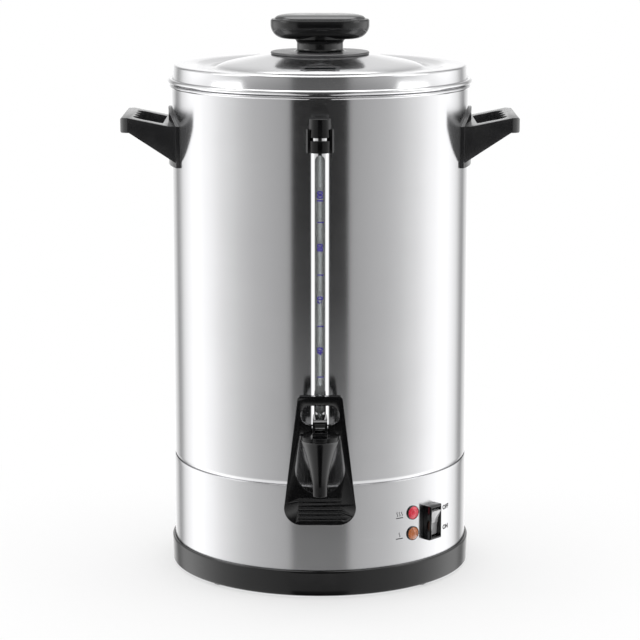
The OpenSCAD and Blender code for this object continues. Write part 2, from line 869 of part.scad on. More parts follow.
// Domed lens with a barrel that fills its bezel
module lamp_lens() {
    rise = 3;
    edge = 0.2;
    barrel = 12;
    foot = lamp_seat + fix_gap;
    dome_r = (lens_r * lens_r + rise * rise) / (2 * rise);
    rotate_extrude() {
        intersection() {
            translate([0, foot + edge + rise - dome_r]) circle(dome_r);
            translate([0, foot]) square([lens_r, rise + weld]);
        }
        translate([0, -barrel])
            square([lens_r - lamp_lip - lamp_wall - fix_gap, barrel + foot + eps]);
    }
}

module lamp_lens_red() {
    color("crimson") lamp_place(1) lamp_lens();
}

module lamp_lens_amber() {
    color("sandybrown") lamp_place(0) lamp_lens();
}

// Spring clips that hold the lamps from behind
module lamp_clips() {
    back = 3;
    sheet = 0.8;
    width = 2.4;
    bore = lens_r - lamp_lip + fix_gap;
    color("silver") for (i = [0, 1]) lamp_place(i) translate([0, 0, -back])
        linear_extrude(sheet) difference() {
            circle(bore + width);
            circle(bore);
        }
}

// ---- Tap ----

module tap_shank() {
    color("silver") difference() {
        union() {
            forward_rod(tap_z, shank_r, shank_start, shank_end);
            forward_rod(tap_z, flange_r, flange_f, flange_f + flange_t);
            translate([0, -gauge_f, tap_z - shank_r])
                cylinder(r = boss_f_r, h = gauge_boss_top - tap_z + shank_r);
        }
        forward_rod(tap_z, shank_bore, shank_start - cut, shank_end + cut);
        translate([0, -gauge_f, tap_z]) cylinder(r = gauge_bore, h = reach);
        translate([0, -gauge_f, seal_z]) cylinder(r = seal_r + run_gap, h = reach);
    }
}

module shank_washers() {
    inner_f = tank_in - nut_gap;
    color("white") {
        difference() {
            forward_rod(tap_z, flange_r, tank_r + fix_gap, flange_f);
            forward_rod(tap_z, shank_r + fix_gap, tank_r - cut, flange_f + cut);
        }
        difference() {
            forward_rod(tap_z, washer_r, inner_f - washer_t, inner_f);
            forward_rod(tap_z, shank_r + fix_gap, inner_f - washer_t - cut, tank_in + cut);
        }
    }
}

module shank_nut() {
    nut_f = tank_in - nut_gap - washer_t - shank_nut_t;
    color("silver") difference() {
        on_wall(0, nut_f, tap_z) cylinder(r = washer_r, h = shank_nut_t, $fn = 6);
        forward_rod(tap_z, shank_r + run_gap, nut_f - cut, tank_in);
    }
}

// Spout and valve chamber in one moulding
module tap_body() {
    steps = 12;
    edge = [0.6, 0.8];
    shoulder = bonnet_plug_h + seat_gap;
    color("#18181a") difference() {
        union() {
            translate([0, -spout_f, 0]) rotate_extrude() polygon(concat(
                [[0, spout_z], [spout_tip_r - edge[0], spout_z], [spout_tip_r, spout_z + edge[1]]],
                [for (i = [0:steps])
                    let (z = flare_z + (chamber_top - weld - flare_z) * i / steps)
                    [spout_radius(z), z]],
                [[chamber_r - edge[1], chamber_top], [0, chamber_top]]));
            forward_rod(tap_z, shank_r + collar_wall, gauge_f + boss_f_r + weld, spout_f - through);
        }
        translate([0, -spout_f, 0]) {
            rotate_extrude() polygon([
                [0, valve_seat], [plug_r + weld, valve_seat],
                [bonnet_plug_r - weld, chamber_top - shoulder],
                [bonnet_plug_r + run_gap, chamber_top - shoulder],
                [bonnet_plug_r + run_gap, chamber_top + cut], [0, chamber_top + cut]]);
            translate([0, 0, spout_z - cut]) cylinder(r = spout_bore, h = spout_drop);
        }
        forward_rod(tap_z, shank_bore, shank_end - cut, spout_f);
        forward_rod(tap_z, shank_r + run_gap, gauge_f, shank_end + hole_gap);
    }
}

// Screwed cap with finger lobes round its edge
module tap_bonnet() {
    brim = 0.3;
    groove_r = 2.4;
    pocket = [6, 6];
    pocket_z = chamber_top - bonnet_plug_h - weld;
    color("#1d1d1f") translate([0, -spout_f, 0]) difference() {
        union() {
            translate([0, 0, chamber_top]) cylinder(r = chamber_r + brim, h = bonnet_t);
            translate([0, 0, chamber_top - bonnet_plug_h])
                cylinder(r = bonnet_plug_r, h = bonnet_plug_h + eps);
        }
        for (i = [0:bonnet_lobes - 1]) rotate([0, 0, (i + 0.5) * 360 / bonnet_lobes])
            translate([chamber_r + groove_r / 2, 0, chamber_top - eps])
                cylinder(r = groove_r, h = bonnet_t + cut);
        translate([0, 0, pocket_z]) cylinder(r = pocket[0], h = pocket[1]);
        translate([0, 0, pocket_z]) cylinder(r = stem_r + run_gap, h = reach);
    }
}

// Steel stem with a flat-topped eye for the lever's pin
module valve_stem() {
    color("silver") translate([0, -spout_f, 0]) difference() {
        union() {
            translate([0, 0, stem_low]) cylinder(r = stem_r, h = pin_z - stem_low);
            along_x(hub_w) translate([0, pin_z]) {
                circle(hub_r);
                translate([-hub_r, 0]) square([2 * hub_r, hub_h]);
            }
        }
        translate([0, 0, pin_z]) rotate([0, 90, 0])
            cylinder(r = lever_pin_r + run_gap, h = hub_w + cut, center = true);
    }
}

module valve_plug() {
    nose = [3, 2];
    seat = 0.4;
    rim_t = 2;
    crown_r = 5;
    color("whitesmoke") translate([0, -spout_f, 0]) difference() {
        rotate_extrude() polygon([
            [0, valve_seat - nose[1]], [nose[0], valve_seat - nose[1]],
            [spout_bore - seat, valve_seat + seat_gap], [plug_r, valve_seat + seat_gap],
            [plug_r, valve_seat + rim_t], [crown_r, valve_seat + plug_h], [0, valve_seat + plug_h]]);
        translate([0, 0, stem_low]) cylinder(r = stem_r, h = reach);
    }
}

module valve_spring() {
    low = valve_seat + plug_h + spring_wire + 2 * hole_gap;
    high = chamber_top - bonnet_t;
    color("silver") translate([0, -spout_f, low])
        coil(spring_r, spring_wire, high - low, spring_turns);
}

// Outline of the push frame, seen from the front, drawn in by an inset
module lever_outline(inset = 0) {
    corner = 2;
    shoulder = lever_low + paddle_r;
    top_x = lever_top_w / 2 - inset;
    low_x = lever_low_w / 2 - inset;
    top_y = lever_top - inset;
    polygon([[-top_x, top_y - corner], [-top_x + corner, top_y], [top_x - corner, top_y],
        [top_x, top_y - corner], [low_x, shoulder], [-low_x, shoulder]]);
    for (s = [-1, 1])
        translate([s * (lever_low_w / 2 - paddle_r), shoulder]) circle(paddle_r - inset);
    translate([-lever_low_w / 2 + paddle_r, lever_low + inset])
        square([lever_low_w - 2 * paddle_r, paddle_r]);
}

module lever_windows() {
    side_w = 2.75;
    top_side_w = 1.9;
    overlap = [0.1, 2];
    translate([0, crossbar_z + crossbar_h + upper_h / 2])
        slot_plan(lever_top_w - 2 * side_w, upper_h);
    translate([0, window_z]) circle(window_r);
    polygon([[-window_r + overlap[0], window_z + overlap[1]],
        [-lever_top_w / 2 + top_side_w, crossbar_z], [lever_top_w / 2 - top_side_w, crossbar_z],
        [window_r - overlap[0], window_z + overlap[1]]]);
}

// Side of the yoke, with its heel toward the front
module yoke_side() {
    edge = 1.5;
    front = spout_f + yoke_r;
    polygon([[-lever_front + weld, heel_z], [-lever_front + weld, yoke_top],
        [-front + edge, yoke_top], [-front, yoke_top - edge], [-front, heel_z]]);
    translate([-heel_f, heel_z]) square([heel_f - spout_f, heel_h]);
}

// Yoke over the valve stem: two cheeks under one roof, joined at the heel
module yoke() {
    difference() {
        along_x(yoke_w) yoke_side();
        along_x(yoke_w - 2 * cheek_t) translate([-heel_f - cut, heel_z - cut])
            square([heel_f + cut - lever_front, yoke_top - yoke_cap_t - heel_z + cut]);
    }
    translate([-yoke_w / 2, -heel_f, heel_z]) cube([yoke_w, heel_t, heel_h]);
}

// Push frame with a ribbed paddle and a yoke that holds the valve stem
module tap_lever() {
    rib_low = lever_low + 4;
    color("#161618") difference() {
        union() {
            on_wall(0, lever_f, 0) linear_extrude(lever_t) difference() {
                lever_outline();
                lever_windows();
            }
            on_wall(0, lever_f - lever_rim[0], 0) linear_extrude(lever_rim[0] + eps) difference() {
                lever_outline();
                lever_outline(lever_rim[1]);
            }
            for (i = [0:rib_count - 1])
                translate([-rib_size[0] / 2, -lever_front - rib_size[1], rib_low + i * rib_pitch])
                    cube([rib_size[0], rib_size[1] + eps, rib_size[2]]);
            yoke();
        }
        translate([0, -spout_f, pin_z]) rotate([0, 90, 0])
            cylinder(r = lever_pin_r + press_gap, h = yoke_w + 2 * cut, center = true);
    }
}

module lever_pin() {
    head = 0.4;
    color("silver") translate([0, -spout_f, pin_z]) rotate([0, 90, 0])
        cylinder(r = lever_pin_r, h = yoke_w + 2 * head, center = true);
}

// ---- Level gauge ----

module gauge_tube() {
    low = seal_z + seal_t;
    color("lightcyan", 0.6) translate([0, -gauge_f, low]) difference() {
        cylinder(r = glass_r, h = glass_top - low);
        translate([0, 0, -cut]) cylinder(r = glass_r - glass_t, h = glass_top);
    }
}

// Polished tube with a long slot toward the front
module gauge_shield() {
    slot_high = collar_z - slot_top_gap;
    color("whitesmoke") difference() {
        translate([0, -gauge_f, gauge_boss_top])
            cylinder(r = shield_r, h = shield_top - gauge_boss_top);
        translate([0, -gauge_f, gauge_boss_top - cut])
            cylinder(r = shield_r - shield_t, h = shield_top);
        on_wall(0, gauge_f, (slot_low_z + slot_high) / 2) linear_extrude(shield_r + cut)
            slot_plan(slot_w, slot_high - slot_low_z);
    }
}

module gauge_seal() {
    color("snow") translate([0, -gauge_f, seal_z]) difference() {
        cylinder(r = seal_r, h = gauge_boss_top - seal_z);
        translate([0, 0, seal_t]) cylinder(r = glass_r + run_gap, h = reach);
        translate([0, 0, -cut]) cylinder(r = gauge_bore, h = reach);
    }
}

// Collar that ties the top of the gauge to the tank, open in front of the cap
module gauge_collar() {
    root = 4;
    ear_front = 6;
    hollow = 2.3;
    color("#1a1a1c") difference() {
        union() {
            translate([-collar_w / 2, -gauge_f, collar_z])
                cube([collar_w, gauge_reach + root, collar_h + ear_h]);
            translate([0, -gauge_f, collar_z]) cylinder(r = shield_r + collar_ring, h = collar_h);
            translate([0, -gauge_f, collar_z]) intersection() {
                cylinder(r = collar_w / 2, h = collar_h + ear_h);
                translate([-collar_w / 2, -ear_front, 0])
                    cube([collar_w, ear_front + 2 * weld, collar_h + ear_h]);
            }
        }
        translate([0, -gauge_f, collar_z - cut])
            cylinder(r = shield_r + fix_gap, h = 2 * reach);
        translate([0, -gauge_f, collar_z + collar_h]) cylinder(r = shield_r + hollow, h = reach);
        translate([0, 0, collar_z - cut]) cylinder(r = tank_r + fix_gap, h = 2 * reach);
        forward_rod(gauge_screw_z, gauge_screw_r + fix_gap, tank_in, tank_r + through + hole_gap);
    }
}

module gauge_cap() {
    brim = [1.8, 2];
    taper = [1.2, 0.6];
    edge = 0.8;
    crown = 0.4;
    wall = 3;
    color("#141416") translate([0, -gauge_f, cap_z]) rotate_extrude() difference() {
        polygon([[0, 0], [shield_r + brim[0], 0], [shield_r + brim[0], brim[1]],
            [shield_r + taper[0], cap_h - edge], [shield_r + taper[1], cap_h], [0, cap_h + crown]]);
        translate([-eps, -cut]) square([shield_r + fix_gap, shield_top - cap_z + cut]);
        translate([-eps, 0]) square([glass_r + fix_gap, glass_top - cap_z]);
        translate([-eps, 0]) square([glass_r - glass_t, cap_h - wall]);
    }
}

module gauge_screw() {
    head = [3.4, 2.5];
    color("silver") {
        forward_rod(gauge_screw_z, gauge_screw_r, tank_in - weld, tank_r + through);
        forward_rod(gauge_screw_z, head[0], tank_in - fix_gap - head[1], tank_in - fix_gap);
    }
}

// ---- Handles ----

// Side view of a handle: X outward, Z up
module handle_side() {
    root = 20;
    toe = 13;
    end_top = handle_top + handle_rise;
    end_low = end_top - handle_end_h;
    low_edge = 1;
    top_edge = 1.5;
    flat_low = 8.5;
    flat_top = 7;
    polygon([[tank_r - root, handle_low], [tank_r - toe, handle_low],
        [handle_end - flat_low, end_low], [handle_end - low_edge, end_low],
        [handle_end, end_low + low_edge], [handle_end, end_top - top_edge],
        [handle_end - top_edge, end_top], [handle_end - flat_top, end_top],
        [tank_r, handle_top], [tank_r - root, handle_top]]);
}

// Finger opening from above, scalloped on the grip's side
module handle_opening() {
    half = handle_w / 2 - arm_t;
    round_plan([hand_in, -half], [hand_out - finger_r, half], 4);
    for (i = [0:finger_count - 1])
        translate([hand_out - finger_r, (i - (finger_count - 1) / 2) * finger_pitch])
            circle(finger_r);
}

// Arched pad that hugs the tank
module handle_pad() {
    half = handle_w / 2 + 2;
    rise = 14.5;
    arch_r = (half * half + rise * rise) / (2 * rise);
    intersection() {
        translate([0, 0, handle_low - cut]) cylinder(r = tank_r + pad_t, h = handle_h + 2 * rise);
        rotate([90, 0, 90]) linear_extrude(tank_r + reach) intersection() {
            translate([0, handle_top + rise - arch_r]) circle(arch_r);
            translate([-half, handle_low]) square([2 * half, handle_h + 2 * rise]);
        }
    }
}

module handle() {
    corner = 8;
    full_h = handle_h + handle_rise + 2 * reach;
    difference() {
        union() {
            intersection() {
                translate([0, handle_w / 2, 0]) rotate([90, 0, 0])
                    linear_extrude(handle_w) handle_side();
                translate([0, 0, handle_low - reach]) linear_extrude(full_h)
                    round_plan([0, -handle_w / 2], [handle_end, handle_w / 2], corner);
            }
            handle_pad();
        }
        translate([0, 0, handle_low - reach]) linear_extrude(full_h) handle_opening();
        translate([0, 0, handle_low - reach]) cylinder(r = tank_r + fix_gap, h = full_h);
        for (z = handle_screw_z) on_wall(90, tank_in, z)
            cylinder(r = handle_screw_r + run_gap, h = tank_t + handle_screw_l + hole_gap);
    }
}

module handle_right() {
    color("#1f1f21") handle();
}

module handle_left() {
    color("#1f1f21") mirror([1, 0, 0]) handle();
}

module handle_screws() {
    head = [4.5, 2.5];
    color("silver") for (s = [90, -90], z = handle_screw_z)
        on_wall(s, tank_in - fix_gap - head[1], z) {
            cylinder(r = head[0], h = head[1]);
            cylinder(r = handle_screw_r, h = head[1] + fix_gap + tank_t + handle_screw_l);
        }
}

// ---- Lid ----

// Pressed lid: rolled edge, locating wall, shoulder, groove, dome and steam hood
module lid() {
    color("silver") difference() {
        union() {
            rotate_extrude() {
                polygon(sheet(concat(
                    [[lid_wall_r, rim_z - lid_wall_drop], [lid_wall_r, lid_top - lid_bend],
                        [lid_wall_r - lid_bend, lid_top], [groove_out, lid_top],
                        [groove_in, groove_z]],
                    dome_path(0), [[0, dome_z]]), lid_t));
                translate([lid_wall_r - lid_t, lid_edge_z - lid_t / 2])
                    square([lid_r - lid_edge_r - lid_wall_r + lid_t, lid_t]);
                translate([lid_r - lid_edge_r, lid_edge_z]) circle(lid_edge_r);
            }
            difference() {
                louvre(0, 0, louvre_front);
                rotate_extrude() polygon(concat(
                    [[0, groove_z - dome_h], [dome_out, groove_z - dome_h]],
                    dome_path(lid_t / 2), [[0, dome_z - lid_t / 2]]));
            }
        }
        louvre(louvre_wall, lid_t, louvre_front - louvre_wall);
        translate([-louvre_mouth_w / 2, -louvre_front - through, louvre_foot])
            cube([louvre_mouth_w, through + 2 * louvre_wall, louvre_z - lid_t - louvre_foot]);
        translate([0, 0, dome_z - through])
            cylinder(r = knob_screw_r + hole_gap, h = 2 * through);
    }
}

// Triangular hood in the dome: drawn in by an inset, lowered by a drop, up to a front
module louvre(inset, drop, front) {
    step = 0.6;
    half = louvre_w / 2 - inset;
    back = louvre_back + 2 * inset;
    intersection() {
        translate([0, 0, groove_z - dome_h]) linear_extrude(3 * dome_h)
            polygon([[0, -back], [half, -front], [-half, -front]]);
        along_x(2 * louvre_w) polygon([[-louvre_back, groove_z - weld],
            [-louvre_back, dome_at(louvre_back) + step - drop], [-louvre_front, louvre_z - drop],
            [-louvre_front, groove_z - weld]]);
    }
}

module heat_disc() {
    bore = knob_screw_r + hole_gap;
    edge = [1.5, 1, 0.6];
    seat = neck_r + 6;
    color("#2a2a2c") translate([0, 0, disc_z]) rotate_extrude() polygon([
        [bore, 0], [disc_r - edge[0], 0], [disc_r, edge[1]], [disc_r - edge[2], disc_t - edge[1]],
        [seat, disc_t], [bore, disc_t]]);
}

// Half outline of the grip's bowl, from its middle outward
function bowl_path(r) = concat(
    [[0, 0], [r - bowl_curve, 0]],
    arc([r - bowl_curve, bowl_curve], bowl_curve, -75, -5, 5),
    [[r, knob_h - bowl_rim[2]], [r - bowl_rim[0], knob_h - bowl_rim[1]],
        [0, knob_h - bowl_rim[1]]]);

// Oval grip: two turned ends joined by a straight middle, on a neck that flares at both ends
module lid_knob() {
    shift = (knob_w - knob_d) / 2;
    foot_flare = 3;
    head_flare = 5;
    root = 4.5;
    seat_w = 3.8;
    color("#1b1b1d") difference() {
        union() {
            translate([0, 0, grip_z]) {
                for (s = [-1, 1]) rotate([0, 0, s * 90]) translate([0, -shift, 0])
                    rotate([0, 0, 180]) rotate_extrude(angle = 180) polygon(bowl_path(knob_d / 2));
                along_x(2 * shift) for (s = [0, 1]) mirror([s, 0]) polygon(bowl_path(knob_d / 2));
            }
            translate([0, 0, neck_z]) rotate_extrude() polygon(concat(
                [[0, 0]],
                arc([neck_r + foot_flare, foot_flare], foot_flare, 270, 180, 4),
                arc([neck_r + head_flare, neck_h - head_flare], head_flare, 180, 90, 6),
                [[neck_r + head_flare, neck_h + root], [0, neck_h + root]]));
        }
        translate([0, 0, neck_z - cut])
            cylinder(r = knob_screw_r + run_gap, h = neck_h + knob_screw_in + 2 * cut);
        translate([0, 0, knob_top - cap_seat]) linear_extrude(cap_seat)
            slot_plan(knob_w - 2 * seat_w, knob_d - 2 * seat_w);
    }
}

// Crowned cover set into the top of the grip
module knob_cap() {
    w = knob_w - 8;
    d = knob_d - 8;
    steps = [[0, 2.6], [3, 4.4], [20, cap_seat]];
    color("#29292c") translate([0, 0, knob_top - cap_seat]) hull() for (s = steps)
        linear_extrude(s[1]) slot_plan(w - s[0], d - s[0]);
}

module knob_screw() {
    washer = [8, 1];
    head = [4.6, 2.5];
    color("silver") translate([0, 0, dome_z - lid_t]) {
        translate([0, 0, -washer[1]]) cylinder(r = washer[0], h = washer[1]);
        translate([0, 0, -washer[1] - head[1]]) cylinder(r = head[0], h = head[1] + eps);
        cylinder(r = knob_screw_r, h = disc_t + neck_h + knob_screw_in);
    }
}

// ---- Percolator ----

module pump_stem() {
    seat_r = 3.5;
    collar = [3, 3];
    notch = [10, 2.2];
    rim_h = 3;
    color("silver") difference() {
        union() {
            rotate_extrude() polygon(sheet([[bell_r, bell_z], [bell_r, bell_z + rim_h],
                bell_neck + [0, bell_z], [pump_r, bell_z + bell_h], [pump_r, pump_top]], sheet_t));
            rotate_extrude() translate([seat_r, valve_z]) square([pump_r - seat_r - 0.5, sheet_t]);
            rotate_extrude() translate([pump_r - 0.5, basket_z - collar[1]])
                square([collar[0] + 0.5, collar[1]]);
        }
        for (a = [0, 120, 240]) rotate([0, 0, a])
            translate([bell_r - notch[0] / 2, -notch[0] / 2, bell_z - cut])
                cube([notch[0], notch[0], notch[1] + cut]);
    }
}

// Loose disc that lets water up the stem and not back
module pump_valve() {
    side_gap = 0.6;
    color("gold") translate([0, 0, valve_z + sheet_t])
        cylinder(r = pump_r - sheet_t - side_gap, h = 1.2);
}

module perforations(z, rings, pitch) {
    for (r = rings)
        ring_of([for (i = [0:floor(2 * PI * r / pitch) - 1]) 360 * i / floor(2 * PI * r / pitch)], r)
            translate([0, 0, z - cut]) cylinder(r = perf_r, h = sheet_t + 2 * cut, $fn = 16);
}

module basket() {
    first = 24;
    edge = 12;
    color("lightgray") difference() {
        rotate_extrude() {
            polygon(sheet([[sleeve_r, basket_z + sleeve_h], [sleeve_r, basket_z],
                [basket_r, basket_z], [basket_r, basket_top - bead_r]], sheet_t));
            translate([basket_r - hole_gap, basket_top - bead_r]) circle(bead_r, $fn = 24);
        }
        perforations(basket_z, [for (r = [first:perf_pitch:basket_r - edge]) r], perf_pitch);
    }
}

module basket_cover() {
    crown = [20, 5];
    slope = [12, 1.5];
    rim_in = 6;
    rim_out = 1.6;
    vents = [40, 21];
    seat = basket_top + seat_gap;
    color("silver") difference() {
        spun_sheet([[sleeve_r, basket_top + crown[1]], [crown[0], basket_top + crown[1]],
            [basket_r - slope[0], seat + slope[1]], [basket_r - rim_in, seat],
            [basket_r + rim_out, seat]], cover_t);
        perforations(basket_top + crown[1] - weld, [vents[0]], vents[1]);
    }
}

tank();
tank_floor();
skirt();
base_ring();
base_plate();
base_feet();
base_screws();
tie_rods();
tie_nuts();
heater_plate();
brew_element();
warm_element();
thermostats();
thermal_fuse();
inlet_socket();
inlet_pins();
inlet_screws();
switch_frame();
switch_rocker();
switch_terminals();
lamp_bezels();
lamp_lens_red();
lamp_lens_amber();
lamp_clips();
tap_shank();
shank_washers();
shank_nut();
tap_body();
tap_bonnet();
valve_stem();
valve_plug();
valve_spring();
tap_lever();
lever_pin();
gauge_tube();
gauge_shield();
gauge_seal();
gauge_collar();
gauge_cap();
gauge_screw();
handle_left();
handle_right();
handle_screws();
lid();
heat_disc();
lid_knob();
knob_cap();
knob_screw();
pump_stem();
pump_valve();
basket();
basket_cover();
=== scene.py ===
"""Looks of a stainless-steel coffee urn: its finishes, its modelled pieces and the studio it stands in."""
import logging
import math
from collections.abc import Callable, Iterable, Sequence
from dataclasses import dataclass
from enum import Enum
from itertools import pairwise

import bpy
from mathutils import Matrix, Vector


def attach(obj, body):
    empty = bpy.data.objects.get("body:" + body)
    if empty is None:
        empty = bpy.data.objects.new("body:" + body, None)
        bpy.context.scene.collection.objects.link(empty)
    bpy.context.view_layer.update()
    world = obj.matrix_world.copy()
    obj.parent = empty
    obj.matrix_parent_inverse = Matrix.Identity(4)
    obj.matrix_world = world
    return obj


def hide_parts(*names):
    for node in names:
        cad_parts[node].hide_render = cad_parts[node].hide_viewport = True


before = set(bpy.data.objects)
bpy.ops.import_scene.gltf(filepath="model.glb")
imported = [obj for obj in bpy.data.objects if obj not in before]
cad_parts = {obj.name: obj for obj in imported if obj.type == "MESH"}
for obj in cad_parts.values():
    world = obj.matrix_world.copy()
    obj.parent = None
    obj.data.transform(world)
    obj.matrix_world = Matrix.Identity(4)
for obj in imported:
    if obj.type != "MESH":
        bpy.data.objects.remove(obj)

log = logging.getLogger("coffee_urn")
logging.basicConfig(level=logging.INFO, format="%(name)s: %(message)s")

MM = 0.001
ORIGIN = (0, 0, 0)
UP = (0, 0, 1)
MERGE = 0.002 * MM  # vertices closer than this are one
INK_DEPTH = 0.02 * MM  # half the thickness of printed letters
INK_SPREAD = 0.035  # how far letters are fattened, as a share of their height
Colour = tuple[float, float, float]
Point = tuple[float, float, float]
Flat = tuple[float, float]


class Body(Enum):
    """The rigid bodies that pieces ride on."""

    URN = "urn"
    LID = "lid_body"
    PUMP = "pump"
    BASKET = "coffee_basket"
    SPREADER = "spreader"
    STEM = "stem"
    LEVER = "lever"
    ROCKER = "rocker"


class Grain(Enum):
    """How the fine lines of a steel finish run."""

    AROUND = "around"
    CONCENTRIC = "concentric"
    NONE = "none"


# ---- Shader maths ----


class Field:
    """A shader value; Python operators on it add Math nodes."""

    def __init__(self, graph: "Graph", socket: bpy.types.NodeSocket) -> None:
        """Wraps an output socket that carries a number."""
        self.graph = graph
        self.socket = socket

    def maths(self, operation: str, *others: "Field | float", clamp: bool = False) -> "Field":
        """Adds one Math node.

        Args:
            operation: the Math node's operation.
            others: its further operands.
            clamp: whether the result is kept between 0 and 1.

        Returns:
            The result as a field.
        """
        values = dict(enumerate((self, *others)))
        return self.graph.number("ShaderNodeMath", {"operation": operation, "use_clamp": clamp}, values)

    def __add__(self, other: "Field | float") -> "Field":
        """Returns self + other."""
        return self.maths("ADD", other)

    __radd__ = __add__

    def __sub__(self, other: "Field | float") -> "Field":
        """Returns self - other."""
        return self.maths("SUBTRACT", other)

    def __rsub__(self, other: float) -> "Field":
        """Returns other - self."""
        return self.maths("MULTIPLY_ADD", -1.0, other)

    def __mul__(self, other: "Field | float") -> "Field":
        """Returns self * other."""
        return self.maths("MULTIPLY", other)

    __rmul__ = __mul__

    def __neg__(self) -> "Field":
        """Returns -self."""
        return self.maths("MULTIPLY", -1.0)

    def __truediv__(self, other: "Field | float") -> "Field":
        """Returns self / other."""
        return self.maths("DIVIDE", other)

    def __pow__(self, power: float) -> "Field":
        """Returns self raised to a power."""
        return self.maths("POWER", power)

    def clamped(self) -> "Field":
        """Returns the value kept between 0 and 1."""
        return self.maths("ADD", 0.0, clamp=True)


class Graph:
    """The node graph of one material or world."""

    def __init__(self, owner: bpy.types.Material | bpy.types.World) -> None:
        """Clears the owner's nodes.

        Args:
            owner: a material or a world.
        """
        owner.use_nodes = True
        self.tree = owner.node_tree
        self.tree.nodes.clear()

    def node(self, kind: str, settings: dict | None = None, sockets: dict | None = None) -> bpy.types.Node:
        """Adds a node.

        Args:
            kind: the node's type.
            settings: properties, set first; "stops" fills a colour ramp with (place, colour) pairs.
            sockets: values, fields or output sockets for its inputs, by name or number.

        Returns:
            The new node.
        """
        made = self.tree.nodes.new(kind)
        for name, value in (settings or {}).items():
            if name == "stops":
                self._fill_ramp(made.color_ramp, value)
            else:
                setattr(made, name, value)
        for key, value in (sockets or {}).items():
            if isinstance(value, Field):
                value = value.socket
            if isinstance(value, bpy.types.NodeSocket):
                self.tree.links.new(value, made.inputs[key])
            else:
                made.inputs[key].default_value = value
        return made

    @staticmethod
    def _fill_ramp(ramp: bpy.types.ColorRamp, stops: Sequence[tuple[float, Colour]]) -> None:
        """Sets a ramp's stops.

        Args:
            ramp: the ramp.
            stops: places from 0 to 1 with their colours.
        """
        while len(ramp.elements) < len(stops):
            ramp.elements.new(0.5)
        for element, (place, colour) in zip(ramp.elements, stops):
            element.position = place
            element.color = (*colour, 1.0)

    def number(self, kind: str, settings: dict | None = None, sockets: dict | None = None,
               output: int | str = 0) -> Field:
        """Adds a node and returns its numbered or named output as a field."""
        return Field(self, self.node(kind, settings, sockets).outputs[output])

    def place(self) -> bpy.types.NodeSocket:
        """Returns the object coordinates, in metres in the urn's own frame."""
        return self.node("ShaderNodeTexCoord").outputs["Object"]

    def axes(self, vector: bpy.types.NodeSocket) -> tuple[Field, Field, Field]:
        """Returns a vector's three parts as fields."""
        split = self.node("ShaderNodeSeparateXYZ", sockets={0: vector})
        return tuple(Field(self, socket) for socket in split.outputs)

    def vector(self, x: "Field | float", y: "Field | float", z: "Field | float") -> bpy.types.NodeSocket:
        """Returns a vector made of three parts."""
        return self.node("ShaderNodeCombineXYZ", sockets={0: x, 1: y, 2: z}).outputs[0]

    def noise(self, vector: bpy.types.NodeSocket, scale: float, detail: float = 2.0,
              rough: float = 0.5) -> Field:
        """Adds a noise texture.

        Args:
            vector: where it is read.
            scale: how many features lie in one unit.
            detail: number of finer layers.
            rough: strength of the finer layers.

        Returns:
            The noise, around 0.5.
        """
        return self.number("ShaderNodeTexNoise", None,
                           {"Vector": vector, "Scale": scale, "Detail": detail, "Roughness": rough})

    def blend(self, factor: "Field | float", low: Colour, high: Colour) -> bpy.types.NodeSocket:
        """Returns a colour that runs from low to high with the factor."""
        mix = self.node("ShaderNodeMix", {"data_type": "RGBA"},
                        {"Factor": factor, 6: (*low, 1.0), 7: (*high, 1.0)})
        return mix.outputs[2]

    def bump(self, height: Field, depth: float) -> bpy.types.NodeSocket:
        """Returns a normal roughened by a relief from 0 to 1 that is this many metres deep."""
        sockets = {"Strength": 1.0, "Distance": depth, "Height": height}
        return self.node("ShaderNodeBump", None, sockets).outputs[0]

    def end(self, shader: bpy.types.Node, output: str = "ShaderNodeOutputMaterial") -> None:
        """Ends the graph with a shader."""
        self.node(output, None, {"Surface": shader.outputs[0]})

    def surface(self, sockets: dict) -> None:
        """Ends the graph with a Principled shader that has these inputs."""
        self.end(self.node("ShaderNodeBsdfPrincipled", None, sockets))


# ---- Finishes ----


def grey(level: float, blue: float = 0.0) -> Colour:
    """Returns a neutral colour whose blue is raised a little."""
    return (level, level, level + blue)


@dataclass(frozen=True)
class Finish:
    """A finish that can be laid on any piece; each one is made into a material once."""

    name: str
    slot: str

    def material(self) -> bpy.types.Material:
        """Makes the finish's material on its first use; the prefix keeps it apart from other materials.

        Returns:
            The material.
        """
        name = f"finish_{self.name}"
        made = bpy.data.materials.get(name)
        if made is None:
            made = bpy.data.materials.new(name)
            self.paint(Graph(made))
        return made

    def lay_on(self, piece: bpy.types.Object) -> None:
        """Covers a piece with the finish.

        Args:
            piece: the piece.
        """
        piece.data.materials.clear()
        piece.data.materials.append(self.material())

    def paint(self, graph: Graph) -> None:
        """Fills the material's empty graph."""
        raise NotImplementedError


